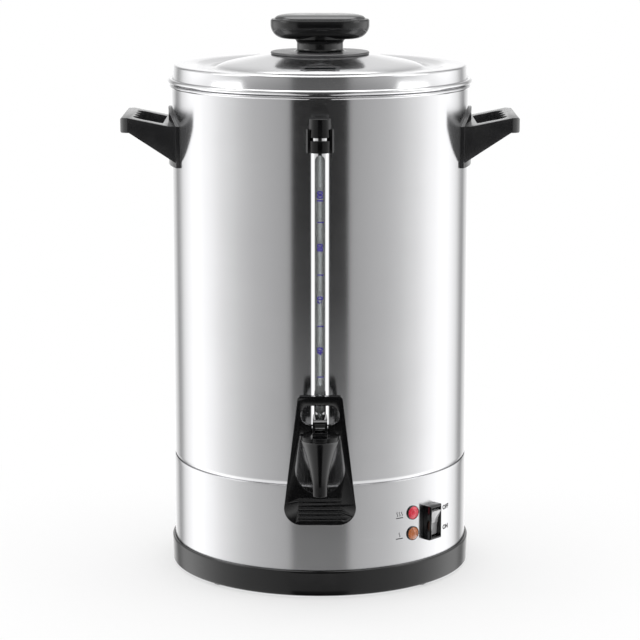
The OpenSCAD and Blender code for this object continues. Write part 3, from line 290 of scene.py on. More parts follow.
@dataclass(frozen=True)
class Steel(Finish):
    """Bare or plated metal with a fine rolled or turned grain."""

    tint: Colour = grey(0.70, 0.01)
    rough: float = 0.22
    spread: float = 0.0
    turn: float = 0.0
    grain: Grain = Grain.NONE
    lines: float = 1800.0
    depth: float = 0.004 * MM
    handled: float = 0.05

    def grain_field(self, graph: Graph, place: bpy.types.NodeSocket) -> Field:
        """Draws the grain lines.

        Args:
            graph: the material's graph.
            place: where they are read.

        Returns:
            The lines, as a field around 0.5.
        """
        x, y, z = graph.axes(place)
        if self.grain is Grain.AROUND:
            return graph.noise(graph.vector(x * 14.0, y * 14.0, z * self.lines), 1.0, 3.0, 0.6)
        if self.grain is Grain.CONCENTRIC:
            radius = (x * x + y * y) ** 0.5
            return graph.noise(graph.vector(radius * self.lines, x * 9.0, y * 9.0), 1.0, 3.0, 0.6)
        return graph.noise(place, self.lines, 2.0)

    def paint(self, graph: Graph) -> None:
        """Lays the metal: tint, grain, and faint cloudiness where it has been wiped.

        Args:
            graph: an empty graph.
        """
        place = graph.place()
        lines = self.grain_field(graph, place)
        clouds = graph.noise(place, 18.0, 3.0)
        shade = (clouds - 0.5) * 0.5 + (lines - 0.5) * 0.35 + 0.5
        dark = tuple(part * 0.94 for part in self.tint)
        light = tuple(min(1.0, part * 1.05) for part in self.tint)
        graph.surface({
            "Base Color": graph.blend(shade.clamped(), dark, light),
            "Metallic": 1.0,
            "Roughness": ((clouds - 0.5) * self.handled + (lines - 0.5) * 0.06 + self.rough).clamped(),
            "Anisotropic": self.spread,
            "Anisotropic Rotation": self.turn,
            "Normal": graph.bump(lines, self.depth),
        })


@dataclass(frozen=True)
class Plastic(Finish):
    """Moulded plastic with a fine sparked texture and faintly rubbed high spots."""

    colour: Colour = grey(0.02, 0.002)
    rubbed: Colour = grey(0.04, 0.003)
    rough: float = 0.38
    gloss: float = 0.5
    depth: float = 0.012 * MM
    coat: float = 0.0
    texture: float = 2600.0

    def paint(self, graph: Graph) -> None:
        """Lays the plastic: colour, moulded texture and soft wear.

        Args:
            graph: an empty graph.
        """
        place = graph.place()
        pores = graph.noise(place, self.texture, 2.0, 0.6)
        wear = graph.noise(place, 55.0, 4.0, 0.6)
        rubbed = ((wear - 0.45) * 2.2).clamped()
        graph.surface({
            "Base Color": graph.blend(rubbed, self.colour, self.rubbed),
            "Roughness": ((wear - 0.5) * 0.16 + (pores - 0.5) * 0.08 + self.rough).clamped(),
            "Specular IOR Level": self.gloss,
            "Coat Weight": self.coat,
            "Coat Roughness": 0.08,
            "Normal": graph.bump(pores, self.depth),
        })


@dataclass(frozen=True)
class Lens(Finish):
    """Tinted lamp lens with a faceted reflector that shows through it."""

    colour: Colour = (0.75, 0.03, 0.06)
    deep: Colour = (0.25, 0.01, 0.02)
    glow: float = 0.35
    facets: float = 700.0

    def paint(self, graph: Graph) -> None:
        """Lays the lens: facets, a deeper rim and a little light from inside.

        Args:
            graph: an empty graph.
        """
        place = graph.place()
        cells = graph.number("ShaderNodeTexVoronoi", {"feature": "F1"},
                             {"Vector": place, "Scale": self.facets}, "Distance")
        haze = graph.noise(place, 260.0, 2.0)
        tone = graph.blend(((cells * 0.9) + (haze - 0.5) * 0.8).clamped(), self.colour, self.deep)
        graph.surface({
            "Base Color": tone,
            "Roughness": ((haze - 0.5) * 0.06 + 0.12).clamped(),
            "Coat Weight": 0.8,
            "Coat Roughness": 0.03,
            "Emission Color": tone,
            "Emission Strength": self.glow,
            "Normal": graph.bump(cells, 0.05 * MM),
        })


@dataclass(frozen=True)
class Clear(Finish):
    """Clear tube with a faint haze of scale inside."""

    tint: Colour = (0.93, 0.95, 0.95)
    scale: Colour = (0.85, 0.87, 0.87)
    rough: float = 0.06

    def paint(self, graph: Graph) -> None:
        """Lays the clear wall.

        Args:
            graph: an empty graph.
        """
        haze = graph.noise(graph.place(), 120.0, 3.0)
        graph.surface({
            "Base Color": graph.blend(haze, self.tint, self.scale),
            "Roughness": ((haze - 0.5) * 0.08 + self.rough).clamped(),
            "Transmission Weight": 0.9,
            "IOR": 1.49,
            "Normal": graph.bump(haze, 0.01 * MM),
        })


@dataclass(frozen=True)
class Cast(Finish):
    """Rough cast, sleeved, printed or rubbery surface with a coarse speckle."""

    light: Colour = grey(0.6)
    dark: Colour = grey(0.45)
    rough: float = 0.6
    metal: float = 0.0
    speckle: float = 900.0
    depth: float = 0.03 * MM

    def paint(self, graph: Graph) -> None:
        """Lays the speckled surface.

        Args:
            graph: an empty graph.
        """
        place = graph.place()
        grit = graph.noise(place, self.speckle, 3.0, 0.65)
        patches = graph.noise(place, 40.0, 3.0)
        graph.surface({
            "Base Color": graph.blend(((grit + patches) * 1.4 - 0.9).clamped(), self.dark, self.light),
            "Metallic": self.metal,
            "Roughness": ((grit - 0.5) * 0.2 + self.rough).clamped(),
            "Normal": graph.bump(grit, self.depth),
        })


class Finishes:
    """Every finish on the urn, by what it covers."""

    WALL = Steel("rolled_wall_steel", "steel_wall", grey(0.68, 0.01), 0.18, 0.8, 0.25, Grain.AROUND, 1500.0,
                 0.0015 * MM)
    LID = Steel("spun_lid_steel", "steel_lid", grey(0.72, 0.01), 0.17, grain=Grain.CONCENTRIC, lines=1100.0,
                depth=0.001 * MM)
    INNER = Steel("inner_steel", "steel_inner", grey(0.62, 0.01), 0.27, grain=Grain.CONCENTRIC)
    BRIGHT = Steel("polished_steel", "bright_steel", grey(0.88, 0.01), 0.07, depth=0.0005 * MM, handled=0.03)
    PLATED = Steel("plated_brass", "shank_metal", grey(0.74, 0.01), 0.16, lines=900.0)
    ZINC = Steel("zinc_plate", "zinc", (0.60, 0.61, 0.60), 0.34, lines=1400.0, depth=0.008 * MM)
    BRASS = Steel("contact_brass", "contact_brass", (0.72, 0.55, 0.26), 0.28)
    GALVANISED = Cast("galvanised_sheet", "base_sheet", (0.62, 0.63, 0.64), (0.45, 0.46, 0.47), 0.42, 1.0, 240.0)
    ALUMINIUM = Cast("cast_aluminium", "cast_aluminium", grey(0.62), grey(0.48), 0.5, 1.0, 1200.0)
    HEATED = Cast("heat_tinted_steel", "element_steel", (0.34, 0.31, 0.30), (0.20, 0.19, 0.21), 0.42, 1.0, 500.0)
    BASE = Plastic("base_black", "base_black", grey(0.0015, 0.0002), grey(0.003, 0.0003), 0.16, 0.6, 0.005 * MM)
    HANDLE = Plastic("handle_black", "handle_black", grey(0.016, 0.001), grey(0.025, 0.001), 0.22, 1.0,
                     0.006 * MM)
    KNOB = Plastic("knob_black", "knob_black", grey(0.004, 0.0004), grey(0.007, 0.0006), 0.20, 0.7, 0.006 * MM)
    CAP = Plastic("cap_black", "knob_black", grey(0.016, 0.001), grey(0.024, 0.001), 0.20, 1.0)
    DISC = Plastic("disc_black", "knob_black", grey(0.04, 0.002), grey(0.055, 0.002), 0.30, 1.0)
    TAP = Plastic("tap_black", "tap_black", grey(0.003, 0.0003), grey(0.005, 0.0005), 0.18, 0.35, 0.002 * MM)
    LEVER = Plastic("lever_black", "tap_black", grey(0.004, 0.0004), grey(0.007, 0.0007), 0.12, 1.0, 0.002 * MM)
    SWITCH = Plastic("switch_black", "switch_black", grey(0.004, 0.0004), grey(0.007, 0.0007), 0.12, 0.8,
                     0.002 * MM)
    # The rocker's light grey colour is painted reflection: it stands in for the bright surroundings mirrored in
    # its glossy face.
    ROCKER = Plastic("rocker_painted_reflection", "switch_black", grey(0.46, 0.005), grey(0.58, 0.005), 0.10, 0.9, 0.001 * MM,
                     coat=1.0)
    BEZEL = Plastic("bezel_black", "switch_black", grey(0.012, 0.001), grey(0.02, 0.001), 0.18, coat=0.3)
    PHENOLIC = Plastic("phenolic_brown", "thermostat_body", (0.10, 0.045, 0.02), (0.16, 0.08, 0.04), 0.45)
    RED = Lens("red_lens", "lens_red", (0.70, 0.035, 0.07), (0.30, 0.01, 0.02), 0.35)
    AMBER = Lens("amber_lens", "lens_amber", (0.52, 0.16, 0.05), (0.22, 0.06, 0.02), 0.22)
    TUBE = Clear("clear_tube", "sight_tube")
    SILICONE = Cast("silicone", "silicone", (0.82, 0.82, 0.80), (0.70, 0.70, 0.68), 0.45, 0.0, 1500.0, 0.01 * MM)
    RUBBER = Cast("foot_rubber", "foot_rubber", grey(0.035), grey(0.022), 0.75)
    SLEEVE = Cast("woven_sleeve", "fuse_sleeve", (0.80, 0.78, 0.70), (0.55, 0.53, 0.46), 0.8, 0.0, 1800.0,
                  0.08 * MM)
    INK = Cast("gauge_ink", "sight_tube", (0.07, 0.04, 0.42), (0.04, 0.02, 0.30), 0.5, 0.0, 3000.0, 0.002 * MM)
    PRINT = Cast("wall_print", "steel_wall", grey(0.03, 0.002), grey(0.015, 0.001), 0.5, 0.0, 3000.0, 0.002 * MM)


# ---- Modelling ----


def clear_selection() -> None:
    """Leaves edit mode and deselects every object."""
    if bpy.context.object and bpy.context.object.mode != "OBJECT":
        bpy.ops.object.mode_set(mode="OBJECT")
    bpy.ops.object.select_all(action="DESELECT")


def dress(piece: bpy.types.Object, finish: Finish, body: Body = Body.URN,
          stands_for: Iterable[str] = ()) -> bpy.types.Object:
    """Gives a finished piece its material and its place in the assembly.

    Args:
        piece: the piece.
        finish: what covers it.
        body: the body that it moves with.
        stands_for: the construction nodes that it is shown for.

    Returns:
        The piece.
    """
    finish.lay_on(piece)
    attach(piece, body.value)
    if stands_for:
        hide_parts(*stands_for)
    log.info("%s: %d faces, %s", piece.name, len(piece.data.polygons), finish.name)
    return piece


class Bench:
    """A modelling bench: one mesh at a time, shaped by Blender's own operators."""

    def __init__(self, name: str) -> None:
        """Starts with nothing but the name of the piece."""
        self.name = name
        self.piece: bpy.types.Object | None = None

    def _start(self) -> None:
        """Takes the object that a primitive has just made, in edit mode."""
        self.piece = bpy.context.object
        self.piece.name = self.name
        self.piece.data.name = self.name

    def draw(self, points: Sequence[Point], fill: bool = False) -> "Bench":
        """Draws a chain of edges, point by point.

        Args:
            points: the points, in metres.
            fill: whether the chain is closed and filled with a face.

        Returns:
            The bench.
        """
        clear_selection()
        bpy.ops.mesh.primitive_plane_add(size=MM, enter_editmode=True, location=ORIGIN)
        self._start()
        bpy.ops.mesh.select_mode(type="VERT")
        self.everything()
        bpy.ops.mesh.merge(type="CENTER")
        bpy.ops.transform.translate(value=points[0])
        for start, end in pairwise(points):
            self.pull(Vector(end) - Vector(start))
        if fill:
            self.everything()
            bpy.ops.mesh.edge_face_add()
        return self

    def block(self, centre: Point, size: Point) -> "Bench":
        """Starts from a box.

        Args:
            centre: its middle, in metres.
            size: its full size.

        Returns:
            The bench.
        """
        clear_selection()
        bpy.ops.mesh.primitive_cube_add(size=1.0, enter_editmode=True, location=ORIGIN)
        self._start()
        bpy.ops.transform.resize(value=size)
        bpy.ops.transform.translate(value=centre)
        return self

    def rod(self, radius: float, height: float, sides: int) -> "Bench":
        """Starts from an upright cylinder that stands on the origin.

        Args:
            radius: its radius, in metres.
            height: its height.
            sides: number of sides.

        Returns:
            The bench.
        """
        clear_selection()
        bpy.ops.mesh.primitive_cylinder_add(vertices=sides, radius=radius, depth=height,
                                            enter_editmode=True, location=ORIGIN)
        self._start()
        bpy.ops.transform.translate(value=(0, 0, height / 2))
        return self

    def copy_of(self, node: str) -> "Bench":
        """Starts from a copy of a construction node, with its loose triangles joined.

        Args:
            node: the node's name.

        Returns:
            The bench.
        """
        clear_selection()
        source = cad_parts[node]
        self.piece = bpy.data.objects.new(self.name, source.data.copy())
        bpy.context.scene.collection.objects.link(self.piece)
        bpy.context.view_layer.objects.active = self.piece
        self.piece.select_set(True)
        bpy.ops.object.mode_set(mode="EDIT")
        self.everything()
        bpy.ops.mesh.remove_doubles(threshold=MERGE)
        bpy.ops.mesh.dissolve_limited(angle_limit=math.radians(0.3))
        return self

    @staticmethod
    def everything() -> None:
        """Selects the whole mesh."""
        bpy.ops.mesh.select_all(action="SELECT")

    def outward(self) -> "Bench":
        """Turns every face outward.

        Returns:
            The bench.
        """
        self.everything()
        bpy.ops.mesh.normals_make_consistent(inside=False)
        return self

    def pick(self, test: Callable[[Vector], bool], kind: str = "FACE") -> "Bench":
        """Selects faces or vertices by their place.

        Args:
            test: takes the centre of a face or the place of a vertex and says whether to select it.
            kind: FACE or VERT.

        Returns:
            The bench.
        """
        bpy.ops.mesh.select_mode(type=kind)
        bpy.ops.mesh.select_all(action="DESELECT")
        bpy.ops.object.mode_set(mode="OBJECT")
        if kind == "FACE":
            for face in self.piece.data.polygons:
                face.select = test(face.center)
        else:
            for vertex in self.piece.data.vertices:
                vertex.select = test(vertex.co)
        bpy.ops.object.mode_set(mode="EDIT")
        return self

    @staticmethod
    def pull(step: Point) -> None:
        """Extrudes what is selected by a step."""
        bpy.ops.mesh.extrude_region_move(TRANSFORM_OT_translate={"value": step})

    def lathe(self, outline: Sequence[Flat], steps: int = 128, foot: Point = ORIGIN,
              axis: Point = UP) -> "Bench":
        """Turns an outline about an axis.

        Args:
            outline: (radius, height) pairs in millimetres; it closes itself, or starts and ends on the axis.
            steps: number of steps in the turn.
            foot: where the axis has height 0, in metres.
            axis: its direction.

        Returns:
            The bench.
        """
        up = Vector(axis)
        side = Vector((0, -1, 0)) if up.z else Vector(UP)
        closing = outline[:1] if outline[0][0] else []
        self.draw([Vector(foot) + (side * r + up * h) * MM for r, h in (*outline, *closing)])
        self.everything()
        bpy.ops.mesh.spin(steps=steps, angle=2 * math.pi, center=foot, axis=axis)
        self.everything()
        bpy.ops.mesh.remove_doubles(threshold=MERGE)
        return self.outward()

    def stretch(self, half: float) -> "Bench":
        """Parts a turned piece at its middle, moves the halves apart along X and bridges them.

        Args:
            half: how far each half moves, in metres.

        Returns:
            The bench.
        """
        for sense in (1, -1):
            self.pick(lambda centre: centre.x * sense > 0)
            if sense > 0:
                bpy.ops.mesh.split()
            bpy.ops.transform.translate(value=(sense * half, 0, 0))
        bpy.ops.mesh.select_mode(type="EDGE")
        bpy.ops.mesh.select_all(action="DESELECT")
        bpy.ops.mesh.select_non_manifold(extend=False, use_wire=False, use_boundary=True,
                                         use_multi_face=False, use_non_contiguous=False,
                                         use_verts=False)
        bpy.ops.mesh.bridge_edge_loops()
        return self.outward()

    def soften(self, width: float, segments: int = 3, limit: float = 32.0) -> "Bench":
        """Rounds the sharp edges with a Bevel modifier.

        Args:
            width: width of the rounding in metres.
            segments: number of facets across it.
            limit: the smallest angle that counts as sharp, in degrees.

        Returns:
            The bench.
        """
        return self.apply("BEVEL", {"width": width, "segments": segments, "limit_method": "ANGLE",
                                    "angle_limit": math.radians(limit), "use_clamp_overlap": True,
                                    "miter_outer": "MITER_ARC"})

    def apply(self, kind: str, settings: dict) -> "Bench":
        """Adds a modifier and applies it.

        Args:
            kind: the modifier's type.
            settings: its properties.

        Returns:
            The bench.
        """
        bpy.ops.object.mode_set(mode="OBJECT")
        modifier = self.piece.modifiers.new(kind.lower(), kind)
        for name, value in settings.items():
            setattr(modifier, name, value)
        bpy.ops.object.modifier_apply(modifier=modifier.name)
        bpy.ops.object.mode_set(mode="EDIT")
        return self

    def cut_with(self, cutter: bpy.types.Object) -> "Bench":
        """Cuts another mesh out of this one, and throws the other away.

        Args:
            cutter: the other mesh.

        Returns:
            The bench.
        """
        bpy.context.view_layer.objects.active = self.piece
        self.piece.select_set(True)
        self.apply("BOOLEAN", {"object": cutter, "operation": "DIFFERENCE", "solver": "EXACT"})
        bpy.data.objects.remove(cutter)
        return self

    def done(self, smooth: float = 30.0) -> bpy.types.Object:
        """Leaves edit mode and shades the mesh.

        Args:
            smooth: edges sharper than this many degrees stay crisp.

        Returns:
            The finished object, at the origin.
        """
        bpy.ops.object.mode_set(mode="OBJECT")
        bpy.ops.object.shade_smooth_by_angle(angle=math.radians(smooth))
        self.piece.select_set(False)
        return self.piece


def turned(name: str, outline: Sequence[Flat], finish: Finish, nodes: Iterable[str] = (), steps: int = 128,
           smooth: float = 35.0, body: Body = Body.URN, foot: Point = ORIGIN, axis: Point = UP) -> None:
    """Turns and dresses a piece.

    Args:
        name: the name of the piece.
        outline: (radius, height) pairs in millimetres.
        finish: what covers it.
        nodes: the construction nodes that it is shown for.
        steps: number of steps in the turn.
        smooth: edges sharper than this many degrees stay crisp.
        body: the body that it moves with.
        foot: where the axis has height 0, in metres.
        axis: its direction.
    """
    dress(Bench(name).lathe(outline, steps, foot, axis).done(smooth), finish, body, nodes)


def refine(finish: Finish, body: Body, segments: int, **edges: float) -> None:
    """Shows construction nodes as joined copies with rounded edges.

    Args:
        finish: what covers them.
        body: the body that they move with.
        segments: number of facets across a rounding.
        edges: width of the rounding in millimetres by node; 0 leaves the edges as they are.
    """
    for node, width in edges.items():
        bench = Bench(f"{node}_finished").copy_of(node)
        if width:
            bench.soften(width * MM, segments)
        dress(bench.done(), finish, body, [node])


def arc(centre: Flat, radius: float, start: float, end: float, count: int) -> list[Flat]:
    """Points of an arc.

    Args:
        centre: its centre.
        radius: its radius.
        start: the first angle in degrees.
        end: the last angle.
        count: number of steps between them.

    Returns:
        The points, both ends included.
    """
    angles = [math.radians(start + (end - start) * i / count) for i in range(count + 1)]
    return [(centre[0] + radius * math.cos(a), centre[1] + radius * math.sin(a)) for a in angles]


def facing(degrees: float) -> Vector:
    """Returns the outward direction at an angle from the tap, toward the switch."""
    angle = math.radians(degrees)
    return Vector((math.sin(angle), -math.cos(angle), 0.0))


def lettering(name: str, words: str, height: float, place: Vector, degrees: float,
              upright: bool = True) -> bpy.types.Object:
    """Sets short printed letters or figures on a wall.

    Args:
        name: the name of the piece.
        words: what is printed.
        height: size of the type in metres.
        place: the middle of the print.
        degrees: angle of the wall from the tap.
        upright: whether the line runs along the wall or up it.

    Returns:
        The letters, as a thin mesh with its place in it.
    """
    clear_selection()
    bpy.ops.object.text_add(location=ORIGIN)
    text = bpy.context.object.data
    text.body = words
    text.size = height
    text.extrude = INK_DEPTH
    text.offset = INK_SPREAD * height
    text.align_x = text.align_y = "CENTER"
    bpy.ops.object.convert(target="MESH")
    letters = bpy.context.object
    letters.name = letters.data.name = name
    if not upright:
        letters.data.transform(Matrix.Rotation(math.pi / 2, 4, "Z"))
    turn = Matrix.Rotation(math.radians(degrees), 4, "Z") @ Matrix.Rotation(math.pi / 2, 4, "X")
    letters.data.transform(Matrix.Translation(place) @ turn)
    bpy.ops.object.mode_set(mode="EDIT")
    bpy.ops.mesh.select_all(action="SELECT")
    bpy.ops.mesh.remove_doubles(threshold=MERGE / 2)
    bpy.ops.mesh.normals_make_consistent(inside=False)
    bpy.ops.object.mode_set(mode="OBJECT")
    letters.select_set(False)
    return letters


# ---- Studio ----


@dataclass(frozen=True)
class Studio:
    """A white table-top studio: floor, a reflection tent for the steel, lamps and camera.

    tent_tones holds (angle from the camera's side as a share of a half turn, brightness) pairs.
    """

    camera_height: float = 0.6697
    camera_distance: float = 2.2861
    camera_pitch: float = 10.72
    lens: float = 134.76
    world_power: float = 0.62
    floor_size: float = 60.0
    tent_radius: float = 3.0
    tent_height: float = 9.0
    tent_drop: float = 0.9
    tent_power: float = 1.75
    tent_tones: tuple[Flat, ...] = (
        (0.0, 0.0), (0.112, 0.0), (0.126, 0.25), (0.15, 0.275), (0.283, 0.36), (0.35, 0.43),
        (0.44, 0.58), (0.505, 0.74), (0.58, 0.86), (0.64, 0.86), (0.683, 0.74), (0.728, 0.58),
        (0.765, 0.30), (0.80, 0.20), (0.83, 0.42), (0.883, 0.56), (0.95, 0.76), (1.0, 0.80))
    lamps: tuple[tuple[str, Point, float, float], ...] = (
        ("top_lamp", (0.0, 0.3, 2.6), 2.4, 34.0),
        ("left_lamp", (-2.4, -0.6, 1.5), 1.4, 10.0),
        ("right_lamp", (2.4, -0.6, 1.5), 1.4, 10.0))

    def build(self) -> None:
        """Makes the whole studio."""
        self.camera()
        self.world()
        self.floor()
        self.tent()
        self.hang_lamps()
        bpy.context.scene.view_settings.view_transform = "Standard"

    def camera(self) -> None:
        """Places the camera in front of the urn, looking a little down."""
        data = bpy.data.cameras.new("view")
        data.lens = self.lens
        data.sensor_width = 36.0
        data.clip_end = 50.0
        camera = bpy.data.objects.new("view", data)
        camera.location = (0.0, -self.camera_distance, self.camera_height)
        camera.rotation_euler = (math.radians(90.0 - self.camera_pitch), 0.0, 0.0)
        bpy.context.scene.collection.objects.link(camera)
        bpy.context.scene.camera = camera

    def world(self) -> None:
        """Lights the set evenly and shows white behind it."""
        world = bpy.data.worlds.new("studio")
        bpy.context.scene.world = world
        graph = Graph(world)
        rays = graph.node("ShaderNodeLightPath")
        seen = Field(graph, rays.outputs["Is Camera Ray"]).maths(
            "MAXIMUM", Field(graph, rays.outputs["Is Transmission Ray"])).maths(
            "MAXIMUM", Field(graph, rays.outputs["Is Glossy Ray"]))
        strength = seen * (1.0 - self.world_power) + self.world_power
        back = graph.node("ShaderNodeBackground", None, {"Color": (1, 1, 1, 1), "Strength": strength})
        graph.end(back, "ShaderNodeOutputWorld")

    def floor(self) -> None:
        """Lays a white floor that keeps the urn's shadow close to its base."""
        clear_selection()
        bpy.ops.mesh.primitive_plane_add(size=self.floor_size, location=ORIGIN)
        floor = bpy.context.object
        floor.name = "floor"
        material = bpy.data.materials.new("floor_white")
        graph = Graph(material)
        x, y, _ = graph.axes(graph.place())
        away = (((x * x + y * y) ** 0.5 - 0.16) / 0.34).clamped()
        seen = Field(graph, graph.node("ShaderNodeLightPath").outputs["Is Camera Ray"])
        matt = graph.node("ShaderNodeBsdfDiffuse", None, {"Color": (0.92, 0.92, 0.92, 1)})
        glow = graph.node("ShaderNodeEmission", None, {"Color": (1, 1, 1, 1), "Strength": 1.0})
        share = seen * (away * 0.45 + 0.55)
        graph.end(graph.node("ShaderNodeMixShader", None, {0: share, 1: matt.outputs[0], 2: glow.outputs[0]}))
        floor.data.materials.append(material)
        floor.visible_glossy = False

    def tent(self) -> None:
        """Hangs the screens that the steel reflects: dark behind the camera, bright at the sides."""
        clear_selection()
        bpy.ops.mesh.primitive_cylinder_add(vertices=256, radius=self.tent_radius, depth=self.tent_height,
                                            end_fill_type="NOTHING", location=(0, 0, -self.tent_drop))
        tent = bpy.context.object
        tent.name = "tent"
        material = bpy.data.materials.new("tent_screens")
        graph = Graph(material)
        x, y, z = graph.axes(graph.place())  # z is 0 in the tent's middle, tent_drop below the floor
        round_about = x.maths("ABSOLUTE").maths("ARCTAN2", -y) / math.pi
        stops = [(place, grey(tone)) for place, tone in self.tent_tones]
        ramp = graph.node("ShaderNodeValToRGB", {"stops": stops}, {0: round_about})
        middle = 1.0 - ((round_about - 0.112) / 0.014).clamped()
        sill = ((0.7 - z) / 0.7).clamped() ** 3.4 * (z * 5.0 + 0.8).clamped() * 0.9
        lintel = ((z - 1.42) / 0.2).clamped() * 0.12
        foot = ((-z - 0.3) / 0.5).clamped() * (1.0 - middle) * 0.5
        head = 1.0 - ((z - 1.4) / 0.7).clamped() * 0.38
        level = (Field(graph, ramp.outputs[0]) * self.tent_power * head + (sill + lintel) * middle
                 + foot + 0.015)
        graph.end(graph.node("ShaderNodeEmission", None, {"Color": (1, 1, 1, 1), "Strength": level}))
        tent.data.materials.append(material)
        for sight in ("camera", "diffuse", "transmission", "shadow", "volume_scatter"):
            setattr(tent, f"visible_{sight}", False)

    def hang_lamps(self) -> None:
        """Hangs a large soft lamp overhead and a softer one on each side."""
        for name, place, size, power in self.lamps:
            data = bpy.data.lights.new(name, "AREA")
            data.size = size
            data.energy = power
            lamp = bpy.data.objects.new(name, data)
            lamp.location = place
            lamp.rotation_euler = (Vector(place) - Vector((0, 0, 0.25))).to_track_quat("Z", "Y").to_euler()
            bpy.context.scene.collection.objects.link(lamp)


# ---- Sub-assemblies ----


@dataclass(frozen=True)
class Assembly:
    """Sizes in millimetres that the sub-assemblies share."""

    tank_r: float = 141.5
    skirt_r: float = 142.0
    ring_top: float = 26.5
    seam: float = 108.5
    rim: float = 467.5
    switch_angle: float = 46.8
    switch_z: float = 62.5

    def build(self) -> None:
        """Builds and dresses the sub-assembly."""
        raise NotImplementedError


@dataclass(frozen=True)
class Casing(Assembly):
    """Tank wall, skirt, base ring and feet."""

    neck_r: float = 140.6
    neck_foot: float = 98.5
    rim_r: float = 1.7
    rim_c: float = 142.0
    shelf: float = 22.5
    ring_r: float = 144.8
    ring_in: float = 141.3
    shelf_in: float = 124.0
    switch_hole: Point = (15.2, 24.0, 30.4)
    inlet_hole: Point = (28.6, 24.0, 22.6)
    inlet_z: float = 60.5

    def build(self) -> None:
        """Builds the shells."""
        self.tank()
        self.skirt()
        self.ring()
        refine(Finishes.RUBBER, Body.URN, 2, base_feet=0.4)

    def tank(self) -> None:
        """Turns the tank wall with its rolled rim."""
        out, neck, seam = self.tank_r, self.neck_r, self.seam
        bead = self.rim - self.rim_r
        outline = [(neck, self.neck_foot), (neck, seam - 0.6), (neck + 0.1, seam - 0.1),
                   (neck + 0.35, seam + 0.5),
                   (out - 0.25, seam + 1.7), (out - 0.05, seam + 2.5), (out, seam + 3.4), (out, bead - 2.2),
                   *arc((self.rim_c, bead), self.rim_r, -107, 152, 18),
                   (out - 1.0, seam + 3.2), (neck - 1.0, seam), (neck - 1.0, self.neck_foot)]
        turned("tank_wall", outline, Finishes.WALL, ["tank"], 288, 40)

    def skirt(self) -> None:
        """Turns the skirt and cuts its openings for the switch and the inlet."""
        out, wall, seam = self.skirt_r, self.skirt_r - 0.8, self.seam
        outline = [(out, self.shelf), (out, seam - 6.0), (out - 0.10, seam - 3.4),
                   *arc((out - 0.7, seam - 1.3), 0.4, 15, 165, 6),
                   (wall - 0.10, seam - 3.4), (wall, seam - 6.0), (wall, self.shelf)]
        bench = Bench("skirt_wall").lathe(outline, 288)
        for degrees, z, size in ((self.switch_angle, self.switch_z, self.switch_hole),
                                 (180.0, self.inlet_z, self.inlet_hole)):
            cutter = Bench("hole").block((0, -out * MM, z * MM), Vector(size) * MM).done()
            cutter.data.transform(Matrix.Rotation(math.radians(degrees), 4, "Z"))
            bench.cut_with(cutter)
        dress(bench.done(40), Finishes.WALL, stands_for=["skirt"])

    def ring(self) -> None:
        """Turns the base ring with its shelf."""
        out, top, shelf, shelf_in = self.ring_r, self.ring_top, self.shelf, self.shelf_in
        outline = [(self.ring_in, 2.5), (out - 1.8, 2.5), *arc((out - 1.8, 3.9), 1.4, -80, 0, 6),
                   (out - 0.4, 8.5), (out, top - 2.2), *arc((out - 1.2, top - 1.2), 1.2, 10, 90, 8),
                   (self.skirt_r + 0.6, top), (self.skirt_r + 0.3, top - 0.3), (self.skirt_r + 0.3, shelf),
                   (shelf_in, shelf), (shelf_in, 5.0), (shelf_in + 2.5, 5.0), (shelf_in + 2.5, shelf - 3.0),
                   (self.ring_in, shelf - 3.0)]
        turned("base_ring_wall", outline, Finishes.BASE, ["base_ring"], 256)


